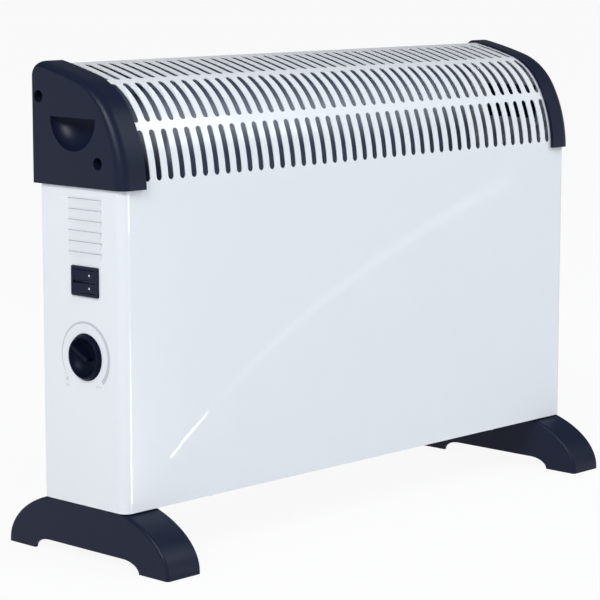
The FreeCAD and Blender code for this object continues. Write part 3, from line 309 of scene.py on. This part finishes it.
def powder_coat():
    """Satin powder coat with its faint waves."""
    paint = bpy.context.scene.heater_paint
    finish = Finish("powder_coat", Coat_Roughness=0.03, IOR=1.5)
    waves = finish.noise(paint.wave, detail=1.5)
    patches = finish.noise(60 * MM, detail=2.0)
    dust = finish.noise(0.35 * MM, detail=1.0)
    # Painted shade: the coat is darker where its waves are low, in the hollows that the bump below makes; the
    # larger patches vary at random.
    finish.feed("Base Color", finish.blend(0.35 * waves + 0.5 * patches, paint.shade, paint.white))
    finish.feed("Roughness", paint.gloss - 0.03 + 0.06 * dust)
    finish.feed("Coat Weight", 0.42 + 0.12 * patches)
    finish.bump(waves + 0.15 * dust, paint.wave_height)
    return finish.material


def painted_inside_shade_and_light():
    """Painted shade inside: a dark colour for the inward faces, with a lighter band of painted light behind
    the slots.
    """
    paint = bpy.context.scene.heater_paint
    finish = Finish("painted_inside_shade_and_light")
    streaks = finish.noise(9 * MM, detail=3.0)
    paler = tuple(1.6 * level for level in paint.inside[:3]) + (1,)
    # Painted light: a band at one height where the inward faces turn lighter, standing in for the light that
    # falls in through the outlet slots.
    height = finish.add("ShaderNodeSeparateXYZ", {}, {0: finish.place}, "Z")
    below = finish.add("ShaderNodeMapRange", {"interpolation_type": "SMOOTHSTEP"},
                       {"Value": height, "From Min": paint.band - paint.band_fade, "From Max": paint.band})
    above = finish.add("ShaderNodeMapRange", {"interpolation_type": "SMOOTHSTEP"},
                       {"Value": height, "From Min": paint.band, "From Max": paint.band + paint.band_fade})
    plain = finish.blend(streaks, paint.inside, paler)
    finish.feed("Base Color", finish.blend(below - above, plain, paint.painted_light_band))
    finish.feed("Roughness", 0.6 + 0.15 * streaks)
    return finish.material


def moulded(name, dark, pale, gloss, grain, grain_height, mirror=0.17):
    """Moulded plastic with a spark-eroded grain: its two shades, roughness, grain and mirror level."""
    finish = Finish(name, IOR=1.47, Specular_IOR_Level=mirror)
    pits = finish.cells(grain)
    cloud = finish.noise(14 * MM, detail=3.0)
    fine = finish.noise(grain / 2, detail=2.0)
    finish.feed("Base Color", finish.blend(0.5 * fine + 0.5 * cloud, dark, pale))
    finish.feed("Roughness", gloss - 0.05 + 0.06 * cloud + 0.05 * fine)
    finish.bump(0.7 * pits + 0.3 * fine, grain_height)
    return finish.material


def cap_plastic():
    plastic = bpy.context.scene.heater_plastic
    return moulded("cap_plastic", plastic.dark, plastic.pale, gloss=plastic.gloss, grain=plastic.grain,
                   grain_height=plastic.grain_height)


def knob_plastic():
    plastic = bpy.context.scene.heater_plastic
    # Painted shade: the knob's darker colour stands in for the shade in its dished face.
    return moulded("knob_plastic", plastic.knob, plastic.dark, gloss=0.42, grain=plastic.grain / 2,
                   grain_height=plastic.grain_height / 3, mirror=0.07)


def switch_plastic():
    plastic = bpy.context.scene.heater_plastic
    return moulded("switch_plastic", plastic.dark, plastic.pale, gloss=0.32, grain=plastic.grain / 2,
                   grain_height=plastic.grain_height / 4)


def rocker_plastic():
    plastic = bpy.context.scene.heater_plastic
    return moulded("rocker_plastic", plastic.dark, plastic.pale, gloss=0.26, grain=plastic.grain / 3,
                   grain_height=plastic.grain_height / 6)


def moulded_black():
    return moulded("moulded_black", dark=(0.012, 0.012, 0.013, 1), pale=(0.02, 0.02, 0.022, 1), gloss=0.5,
                   grain=0.5 * MM, grain_height=0.01 * MM)


def terminal_plastic():
    return moulded("terminal_plastic", dark=(0.62, 0.6, 0.53, 1), pale=(0.7, 0.68, 0.61, 1), gloss=0.48,
                   grain=0.6 * MM, grain_height=0.006 * MM)


def insulation(name, tint):
    """Rubbery insulation, a little dusty."""
    dusty = tuple(0.8 * level + 0.08 for level in tint[:3]) + (1,)
    finish = Finish(name, Sheen_Weight=0.2)
    dust = finish.noise(3 * MM, detail=3.0)
    finish.feed("Base Color", finish.blend(0.5 * dust, tint, dusty))
    finish.feed("Roughness", 0.5 + 0.2 * dust)
    return finish.material


def live_insulation():
    return insulation("live_insulation", (0.19, 0.07, 0.03, 1))


def neutral_insulation():
    return insulation("neutral_insulation", (0.03, 0.1, 0.42, 1))


def earth_insulation():
    return insulation("earth_insulation", (0.22, 0.42, 0.05, 1))


def metal(name, tint, dull, gloss, grain, relief):
    """Bare or plated metal with soft clouding and a fine grain."""
    finish = Finish(name, Metallic=1.0)
    cloud = finish.noise(12 * grain, detail=3.0)
    fine = finish.noise(grain, detail=3.0)
    finish.feed("Base Color", finish.blend(cloud, dull, tint))
    finish.feed("Roughness", gloss - 0.06 + 0.1 * cloud + 0.06 * fine)
    finish.bump(fine, relief)
    return finish.material


def zinc_screws():
    return metal("zinc_plate", tint=(0.75, 0.77, 0.8, 1), dull=(0.6, 0.63, 0.68, 1), gloss=0.28,
                 grain=0.4 * MM, relief=0.004 * MM)


def zinc_sheet():
    """Galvanised sheet with its spangle."""
    finish = Finish("galvanised_sheet", Metallic=1.0)
    spangle = finish.cells(7 * MM, output="Color")
    level = finish.add("ShaderNodeSeparateColor", {}, {0: spangle})
    fine = finish.noise(0.8 * MM, detail=3.0)
    finish.feed("Base Color", finish.blend(level, (0.46, 0.48, 0.5, 1), (0.66, 0.68, 0.7, 1)))
    finish.feed("Roughness", 0.34 + 0.16 * level + 0.05 * fine)
    finish.bump(fine, 0.01 * MM)
    return finish.material


def aluminised_sheet():
    return metal("aluminised_sheet", tint=(0.72, 0.72, 0.72, 1), dull=(0.55, 0.56, 0.57, 1), gloss=0.42,
                 grain=1.2 * MM, relief=0.008 * MM)


def resistance_wire():
    """The wound heating wire: its turns show as close ribs along the run."""
    finish = Finish("wound_wire", Metallic=1.0)
    turns = finish.add("ShaderNodeTexWave",
                       {"wave_type": "BANDS", "bands_direction": "X", "wave_profile": "SIN"},
                       {"Vector": finish.place, "Scale": WIRE_WAVES, "Distortion": 0.0})
    oxide = finish.noise(6 * MM, detail=3.0)
    finish.feed("Base Color", finish.blend(oxide, (0.2, 0.17, 0.15, 1), (0.42, 0.4, 0.38, 1)))
    finish.feed("Roughness", 0.42 + 0.2 * oxide)
    finish.bump(turns, 0.4 * MM)
    return finish.material


def mica():
    """Layered mica board with bright flakes."""
    finish = Finish("mica_board")
    flakes = finish.cells(2.4 * MM)
    layers = finish.noise(5 * MM, detail=4.0)
    finish.feed("Base Color", finish.blend(layers, (0.34, 0.27, 0.18, 1), (0.6, 0.53, 0.42, 1)))
    finish.feed("Roughness", 0.3 + 0.5 * flakes)
    finish.bump(flakes, 0.03 * MM)
    return finish.material


def ceramic():
    """Glazed steatite."""
    finish = Finish("glazed_ceramic", Coat_Roughness=0.08)
    cloud = finish.noise(4 * MM, detail=3.0)
    finish.feed("Base Color", finish.blend(cloud, (0.72, 0.69, 0.61, 1), (0.82, 0.8, 0.73, 1)))
    finish.feed("Roughness", 0.3 + 0.12 * cloud)
    finish.feed("Coat Weight", 0.5 + 0.2 * cloud)
    return finish.material


def brass_contacts():
    return metal("brass", tint=(0.78, 0.58, 0.27, 1), dull=(0.6, 0.42, 0.18, 1), gloss=0.3,
                 grain=0.6 * MM, relief=0.005 * MM)


def ink(name, tint):
    """Printed ink, slightly uneven."""
    finish = Finish(name)
    grain = finish.noise(0.25 * MM, detail=2.0)
    lighter = tuple(min(1.0, level * 1.12 + 0.01) for level in tint[:3]) + (1,)
    finish.feed("Base Color", finish.blend(grain, tuple(tint), lighter))
    finish.feed("Roughness", 0.42 + 0.1 * grain)
    return finish.material


FINISHES = {
    "casing_paint": powder_coat,
    # The inside's painted shade, with its band of painted light.
    "painted_inside_shade_and_light": painted_inside_shade_and_light,
    "dark_plastic": cap_plastic,
    "knob_plastic": knob_plastic,
    "switch_plastic": switch_plastic,
    "rocker_plastic": rocker_plastic,
    "zinc_screws": zinc_screws,
    "zinc_sheet": zinc_sheet,
    "aluminised_sheet": aluminised_sheet,
    "resistance_wire": resistance_wire,
    "mica": mica,
    "ceramic": ceramic,
    "brass_contacts": brass_contacts,
    "moulded_black": moulded_black,
    "terminal_plastic": terminal_plastic,
    "live_insulation": live_insulation,
    "neutral_insulation": neutral_insulation,
    "earth_insulation": earth_insulation,
}
made_finishes = {}


def finish_of(slot):
    """The material of a slot of the record, or of the painted shade inside, made once."""
    if slot not in made_finishes:
        made_finishes[slot] = FINISHES[slot]()
    return made_finishes[slot]


# Making pieces


def choose(*pieces):
    """Select these pieces alone, the last one active."""
    if bpy.context.object and bpy.context.object.mode != "OBJECT":
        bpy.ops.object.mode_set(mode="OBJECT")
    bpy.ops.object.select_all(action="DESELECT")
    for piece in pieces:
        piece.select_set(True)
        bpy.context.view_layer.objects.active = piece
    return pieces[-1]


def edit(piece):
    choose(piece)
    bpy.ops.object.mode_set(mode="EDIT")
    bpy.ops.mesh.select_all(action="SELECT")


def stop_editing():
    bpy.ops.object.mode_set(mode="OBJECT")


def finish_modifiers(piece):
    choose(piece)
    for modifier in list(piece.modifiers):
        bpy.ops.object.modifier_apply(modifier=modifier.name)


def settle(piece, node, material, name=None):
    """Give a piece its place in the mesh, its finish and the body that carries it."""
    choose(piece)
    bpy.ops.object.transform_apply(location=True, rotation=True, scale=True)
    if name:
        piece.name = name
        piece.data.name = name
    piece.data.materials.clear()
    piece.data.materials.append(material)
    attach(piece, BODY_OF[node])
    return piece


def merged_copy(node):
    """A copy of a CAD node with its loose triangles joined up."""
    name = node + "_finished"
    piece = bpy.data.objects.new(name, NODES[node].data.copy())
    piece.data.name = name
    bpy.context.collection.objects.link(piece)
    edit(piece)
    bpy.ops.mesh.customdata_custom_splitnormals_clear()
    bpy.ops.mesh.remove_doubles(threshold=SAME_PLACE)
    stop_editing()
    return piece


def shade(piece, angle):
    """Smooth shading below an angle in degrees, with normals that follow the larger faces."""
    choose(piece)
    bpy.ops.object.shade_smooth_by_angle(angle=math.radians(angle))
    weighted = piece.modifiers.new("weighted", "WEIGHTED_NORMAL")
    weighted.keep_sharp = True
    finish_modifiers(piece)


def dressed(node, angle=PLAIN_SMOOTH):
    """A smooth copy of a CAD node in its finish, in the node's place."""
    piece = merged_copy(node)
    shade(piece, angle)
    settle(piece, node, finish_of(SLOT_OF[node]))
    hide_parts(node)
    return piece


def surface(piece, start, along):
    """Where a straight line first meets a piece."""
    hit, place, normal, face = piece.ray_cast(Vector(start), Vector(along))
    if not hit:
        raise RuntimeError("nothing of " + piece.name + " lies along that line")
    return place


def islands(piece):
    """The loose parts of a piece in a fixed order, each as a list of its vertices' places."""
    shape = bmesh.new()
    shape.from_mesh(piece.data)
    found = []
    waiting = dict.fromkeys(shape.verts)
    while waiting:
        group = [waiting.popitem()[0]]
        for vertex in group:
            for link in vertex.link_edges:
                other = link.other_vert(vertex)
                if other in waiting:
                    del waiting[other]
                    group.append(other)
        found.append([vertex.co.copy() for vertex in group])
    shape.free()
    return found


def outwards(place, normal):
    """The way out of the casing at a place on one of its sheets, or nothing on the walls of a slot."""
    low, high = CASING
    if abs(normal.x) > END_FACE:
        return Vector((math.copysign(1, place.x), 0, 0)) if abs(place.x) > high.x else Vector()
    if place.z > high.z - CURVE_RISE and place.y < high.y - BACK_ROUND:
        across = (place.y - high.y) / (high.y - low.y) ** 2
        up = (place.z - high.z + CURVE_RISE) / CURVE_RISE ** 2
        return Vector((0, across, up)).normalized()
    if abs(normal.y) > abs(normal.z):
        return Vector((0, math.copysign(1, place.y), 0))
    return Vector((0, 0, math.copysign(1, place.z - MID_HEIGHT)))


class HEATER_OT_casing(bpy.types.Operator):
    """Casing, end panels, rear panel and base in powder coat, with painted shade and a band of painted light
    on their inward faces
    """

    bl_idname = "heater.casing"
    bl_label = "Casing"

    def execute(self, context):
        for node in ("front_casing", "left_end_panel", "right_end_panel", "rear_panel", "base_grille"):
            self.paint_inside_shade_and_light(dressed(node))
        return {"FINISHED"}

    def paint_inside_shade_and_light(self, piece):
        """Painted shade, with a band of painted light, on the faces of a sheet that look into the heater."""
        piece.data.materials.append(finish_of("painted_inside_shade_and_light"))
        for face in piece.data.polygons:
            if face.normal.dot(outwards(face.center, face.normal)) < INWARD_FACE:
                face.material_index = 1


class HEATER_OT_caps(bpy.types.Operator):
    """End caps with their finger grips, and the formers behind them"""

    bl_idname = "heater.caps"
    bl_label = "End caps"

    def execute(self, context):
        for node in ("left_cap", "right_cap"):
            dressed(node, CAP_SMOOTH)
        for node in ("left_cap_bracket", "right_cap_bracket"):
            dressed(node)
        return {"FINISHED"}


class HEATER_OT_feet(bpy.types.Operator):
    """The two arched feet"""

    bl_idname = "heater.feet"
    bl_label = "Feet"

    def execute(self, context):
        for node in ("left_foot", "right_foot"):
            dressed(node, FOOT_SMOOTH)
        return {"FINISHED"}


class HEATER_OT_screws(bpy.types.Operator):
    """Screws with a cross recess in each head"""

    bl_idname = "heater.screws"
    bl_label = "Screws"

    def execute(self, context):
        for node, all_down in (("rear_screws", False), ("base_screws", False), ("foot_screws", True)):
            self.cut_crosses(context, node, all_down)
        dressed("cap_screws")
        return {"FINISHED"}

    def cut_crosses(self, context, node, all_down):
        """Cut a cross into each head of a group of screws: in its back, or below where they all face
        down or a screw is taller than it is deep."""
        sizes = context.scene.heater_screws
        piece = merged_copy(node)
        cutters = []
        for points in islands(piece):
            low = Vector(min(point[axis] for point in points) for axis in range(3))
            high = Vector(max(point[axis] for point in points) for axis in range(3))
            size = high - low
            downwards = all_down or size.z > size.y
            middle = (low + high) / 2
            head = min(size.x, size.y if downwards else size.z)
            top = Vector((middle.x, middle.y, low.z)) if downwards else Vector((middle.x, high.y, middle.z))
            for quarter in (0, 1):
                bpy.ops.mesh.primitive_cube_add(size=1, location=top)
                arm = bpy.context.object
                long = head * sizes.recess_share
                deep = 2 * sizes.recess_depth
                sides = [long, sizes.recess_width] if quarter else [sizes.recess_width, long]
                arm.scale = (sides[0], sides[1], deep) if downwards else (sides[0], deep, sides[1])
                bpy.ops.object.transform_apply(location=True, rotation=False, scale=True)
                cutters.append(arm)
        choose(*cutters)
        bpy.ops.object.join()
        cross = bpy.context.object
        cut = piece.modifiers.new("cross", "BOOLEAN")
        cut.operation = "DIFFERENCE"
        cut.solver = "EXACT"
        cut.use_self = True
        cut.object = cross
        finish_modifiers(piece)
        bpy.data.objects.remove(cross)
        shade(piece, PLAIN_SMOOTH)
        settle(piece, node, finish_of(SLOT_OF[node]))
        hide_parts(node)


class HEATER_OT_switch(bpy.types.Operator):
    """The twin rocker switch with its dots"""

    bl_idname = "heater.switch"
    bl_label = "Switch"

    def execute(self, context):
        sizes = context.scene.heater_print
        dressed("switch_housing")
        for node in ("upper_rocker", "lower_rocker"):
            rocker = dressed(node)
            low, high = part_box(node)
            reach = (high.y - low.y) / 2
            middle = (low + high) / 2
            spot = surface(rocker, (low.x - reach, middle.y - DOT_PLACE * reach, middle.z), (1, 0, 0))
            bpy.ops.mesh.primitive_cylinder_add(vertices=DOT_SIDES, radius=sizes.dot_radius,
                                                depth=sizes.layer * 2, location=spot,
                                                rotation=(0, math.radians(90), 0))
            dot = bpy.context.object
            edit(dot)
            bpy.ops.mesh.bevel(offset=sizes.layer / 2, segments=1)
            stop_editing()
            shade(dot, PLAIN_SMOOTH)
            settle(dot, node, ink("dot_paint_" + node, sizes.dot), node + "_dot")
        return {"FINISHED"}


class HEATER_OT_knob(bpy.types.Operator):
    """The thermostat's dished knob and its spindle"""

    bl_idname = "heater.knob"
    bl_label = "Thermostat knob"

    def execute(self, context):
        dressed("thermostat_knob", KNOB_SMOOTH)
        dressed("thermostat_spindle")
        return {"FINISHED"}


class HEATER_OT_scale(bpy.types.Operator):
    """The printed scale round the knob: a growing stroke, with a frost mark and two words at its ends"""

    bl_idname = "heater.scale"
    bl_label = "Dial scale"

    def execute(self, context):
        sizes = context.scene.heater_print
        low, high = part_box("thermostat_knob")
        centre = (low + high) / 2
        panel = bpy.data.objects["left_end_panel_finished"]
        start = (low.x - STAND_OFF, centre.y + sizes.radius, centre.z)
        self.face = surface(panel, start, (1, 0, 0)).x
        self.centre = Vector((self.face, centre.y, centre.z))
        stroke = self.stroke(sizes)
        words = [self.word(sizes, text, y, z) for text, y, z in WORDS]
        pieces = [stroke, *words, self.star(sizes)]
        material = ink("scale_ink", sizes.ink)
        for piece in pieces:
            settle(piece, "left_end_panel", material)
        return {"FINISHED"}

    def stroke(self, sizes):
        """The growing stroke, as a strip of faces drawn out to the ink's thickness."""
        bpy.ops.mesh.primitive_grid_add(x_subdivisions=sizes.steps, y_subdivisions=1, size=1)
        strip = bpy.context.object
        strip.name = "scale_stroke"
        for vertex in strip.data.vertices:
            along = vertex.co.x + 0.5
            turn = SCALE_START + SCALE_SWEEP * along
            wide = sizes.thin + (sizes.thick - sizes.thin) * along
            radius = sizes.radius + (vertex.co.y - 0.5) * wide
            vertex.co = self.centre + Vector((0, radius * math.cos(turn), radius * math.sin(turn)))
        edit(strip)
        bpy.ops.mesh.extrude_region_move(TRANSFORM_OT_translate={"value": (-sizes.layer, 0, 0)})
        bpy.ops.mesh.select_all(action="SELECT")
        bpy.ops.mesh.normals_make_consistent(inside=False)
        stop_editing()
        return strip

    def star(self, sizes):
        """The frost mark above the word at the cold end: three strokes that cross."""
        strokes = []
        for turn in STROKES:
            bpy.ops.mesh.primitive_cube_add(size=1, location=(self.face, *FROST_MARK),
                                            rotation=(math.radians(turn), 0, 0))
            stroke = bpy.context.object
            stroke.scale = (2 * sizes.layer, sizes.star, sizes.star / STAR_SLIM)
            edit(stroke)
            bpy.ops.mesh.bevel(offset=sizes.layer / 8, segments=1)
            stop_editing()
            strokes.append(stroke)
        star = choose(*strokes)
        bpy.ops.object.join()
        star.name = "scale_star"
        return star

    def word(self, sizes, text, y, z):
        """One word of the scale, which reads from outside the end panel."""
        bpy.ops.object.text_add(location=(self.face, y, z), rotation=(math.radians(90), 0, math.radians(-90)))
        word = bpy.context.object
        word.data.body = text
        word.data.size = sizes.word
        word.data.align_x = "CENTER"
        word.data.align_y = "CENTER"
        word.data.extrude = sizes.layer
        word.name = "scale_word_" + text
        choose(word)
        bpy.ops.object.convert(target="MESH")
        return bpy.context.object


class HEATER_OT_workings(bpy.types.Operator):
    """Finishes of the pieces inside the casing and of the cord inlet"""

    bl_idname = "heater.workings"
    bl_label = "Inside pieces"

    def execute(self, context):
        for node in ("front_element", "rear_element", "ceramic_bushes", "mica_cards", "cord_inlet",
                     "earth_stud"):
            dressed(node)
        for node, piece in NODES.items():
            if not piece.hide_render:
                piece.data.materials.clear()
                # The heat shield is given the inside's dark painted shade, not its own sheet's finish.
                piece.data.materials.append(finish_of("painted_inside_shade_and_light" if node == "heat_shield" else SLOT_OF[node]))
        return {"FINISHED"}


class HEATER_OT_studio(bpy.types.Operator):
    """White floor, even light, mirrored strips and cards, two soft lamps and the camera"""

    bl_idname = "heater.studio"
    bl_label = "Studio"

    def execute(self, context):
        studio = context.scene.heater_studio
        self.floor(studio)
        self.sky(context, studio)
        for strip, strength in zip(STRIPS, (studio.strip, studio.spark, CORNER_STRIP * studio.card)):
            self.strip(*strip, strength)
        for card, strength in zip(CARDS, (studio.card, studio.softbox)):
            self.card(*card, strength)
        for lamp in LAMPS:
            self.lamp(*lamp)
        self.camera(context, studio)
        context.scene.view_settings.view_transform = "Standard"
        return {"FINISHED"}

    def floor(self, studio):
        bpy.ops.mesh.primitive_circle_add(vertices=FLOOR_SIDES, radius=FLOOR_RADIUS, fill_type="NGON",
                                          location=(0, 0, 0))
        floor = bpy.context.object
        floor.name = "studio_floor"
        finish = Finish("studio_floor", Base_Color=studio.floor, Roughness=0.8, Specular_IOR_Level=0.0)
        glow = finish.add("ShaderNodeEmission", {}, {"Color": WHITE, "Strength": 1.0})
        lit = Value(finish, finish.shader.outputs[0])
        bright = (finish.seen() + finish.mirrored()) * studio.floor_glow
        mixed = finish.add("ShaderNodeMixShader", {}, {0: bright, 1: lit, 2: glow})
        finish.tree.links.new(mixed.socket, finish.tree.nodes["Material Output"].inputs["Surface"])
        floor.data.materials.append(finish.material)

    def sky(self, context, studio):
        world = bpy.data.worlds.new("studio_sky")
        context.scene.world = world
        sky = Nodes(world)
        towards = sky.add("ShaderNodeTexCoord", output="Generated")
        height = sky.add("ShaderNodeSeparateXYZ", {}, {0: towards}, "Z")
        walls = sky.add("ShaderNodeMapRange", {},
                        {"Value": height, "From Min": WALL_TOP, "From Max": CEILING_START,
                         "To Min": 1.0, "To Max": studio.ceiling})
        far_floor = studio.floor_glow + (1 - studio.floor_glow) * studio.floor[0] * studio.sky
        lit = sky.add("ShaderNodeMapRange", {},
                      {"Value": sky.mirrored(), "To Min": studio.sky, "To Max": walls})
        level = sky.add("ShaderNodeMapRange", {},
                        {"Value": sky.seen(), "To Min": lit, "To Max": far_floor})
        background = sky.tree.nodes["Background"]
        sky.join(background.inputs["Color"], WHITE)
        sky.join(background.inputs["Strength"], level)

    def strip(self, name, line, near_width, far_width, strength):
        """A thin strip light along the floor, which shows only as its mirror image in the casing."""
        start, bend, end = (Vector((x, y, STRIP_HEIGHT)) for x, y in line)
        bpy.ops.mesh.primitive_grid_add(x_subdivisions=STRIP_STEPS, y_subdivisions=1, size=1)
        strip = bpy.context.object
        for vertex in strip.data.vertices:
            along = vertex.co.x + 0.5
            middle = start.lerp(bend, along).lerp(bend.lerp(end, along), along)
            heading = (bend - start).lerp(end - bend, along).normalized()
            across = Vector((-heading.y, heading.x, 0))
            vertex.co = middle + across * vertex.co.y * (near_width + (far_width - near_width) * along)
        self.mirrored_only(strip, name, strength)

    def card(self, name, place, aim, size, strength):
        """A white card aimed at a point, which shows only as a highlight along rounded edges."""
        bpy.ops.mesh.primitive_plane_add(size=1, location=place)
        card = bpy.context.object
        card.scale = (size[0], size[1], 1)
        card.rotation_euler = (Vector(aim) - Vector(place)).to_track_quat("-Z", "Y").to_euler()
        bpy.ops.object.transform_apply(location=True, rotation=True, scale=True)
        self.mirrored_only(card, name, strength)

    def mirrored_only(self, piece, name, strength):
        """Make a piece of the stage a light that only mirrors see."""
        piece.name = name
        finish = Nodes(bpy.data.materials.new(name))
        glow = finish.add("ShaderNodeEmission", {}, {"Color": WHITE, "Strength": strength})
        finish.tree.links.new(glow.socket, finish.tree.nodes["Material Output"].inputs["Surface"])
        piece.data.materials.append(finish.owner)
        piece.visible_camera = piece.visible_diffuse = False
        piece.visible_transmission = piece.visible_shadow = False

    def lamp(self, name, place, aim, size, power, tint):
        """A square soft lamp in watts, aimed at a point."""
        bpy.ops.object.light_add(type="AREA", location=place)
        lamp = bpy.context.object
        lamp.name = name
        lamp.data.name = name
        lamp.data.size = size
        lamp.data.energy = power
        lamp.data.color = tint
        lamp.rotation_euler = (Vector(aim) - Vector(place)).to_track_quat("-Z", "Y").to_euler()

    def camera(self, context, studio):
        bpy.ops.object.camera_add(location=(studio.camera_x, studio.camera_y, studio.camera_z))
        camera = bpy.context.object
        turn = Matrix.Rotation(-studio.yaw, 4, "Z") @ Matrix.Rotation(math.pi / 2 - studio.pitch, 4, "X")
        camera.rotation_euler = (turn @ Matrix.Rotation(studio.roll, 4, "Z")).to_euler()
        camera.data.lens = studio.lens
        camera.data.shift_x = studio.shift_x
        camera.data.shift_y = studio.shift_y
        camera.data.clip_end = VIEW_END
        context.scene.camera = camera


SETTINGS = {
    "heater_paint": HeaterPaint,
    "heater_plastic": HeaterPlastic,
    "heater_print": HeaterPrint,
    "heater_screws": HeaterScrews,
    "heater_studio": HeaterStudio,
}
OPERATORS = (HEATER_OT_casing, HEATER_OT_caps, HEATER_OT_feet, HEATER_OT_screws, HEATER_OT_switch,
             HEATER_OT_knob, HEATER_OT_scale, HEATER_OT_workings, HEATER_OT_studio)


class HEATER_PT_panel(bpy.types.Panel):
    """Lists the heater's pieces and their sizes"""

    bl_idname = "HEATER_PT_panel"
    bl_label = "Convector heater"
    bl_space_type = "VIEW_3D"
    bl_region_type = "UI"
    bl_category = "Heater"

    def draw(self, context):
        for operator in OPERATORS:
            self.layout.operator(operator.bl_idname)
        for name, group in SETTINGS.items():
            box = self.layout.box()
            for size in group.__annotations__:
                box.prop(getattr(context.scene, name), size)


def register():
    for group in SETTINGS.values():
        bpy.utils.register_class(group)
    for name, group in SETTINGS.items():
        setattr(bpy.types.Scene, name, PointerProperty(type=group))
    for operator in OPERATORS:
        bpy.utils.register_class(operator)
    bpy.utils.register_class(HEATER_PT_panel)


def unregister():
    bpy.utils.unregister_class(HEATER_PT_panel)
    for operator in reversed(OPERATORS):
        bpy.utils.unregister_class(operator)
    for name, group in SETTINGS.items():
        delattr(bpy.types.Scene, name)
        bpy.utils.unregister_class(group)


def main():
    register()
    for operator in OPERATORS:
        group, name = operator.bl_idname.split(".")
        getattr(getattr(bpy.ops, group), name)()


if __name__ == "__main__":
    main()
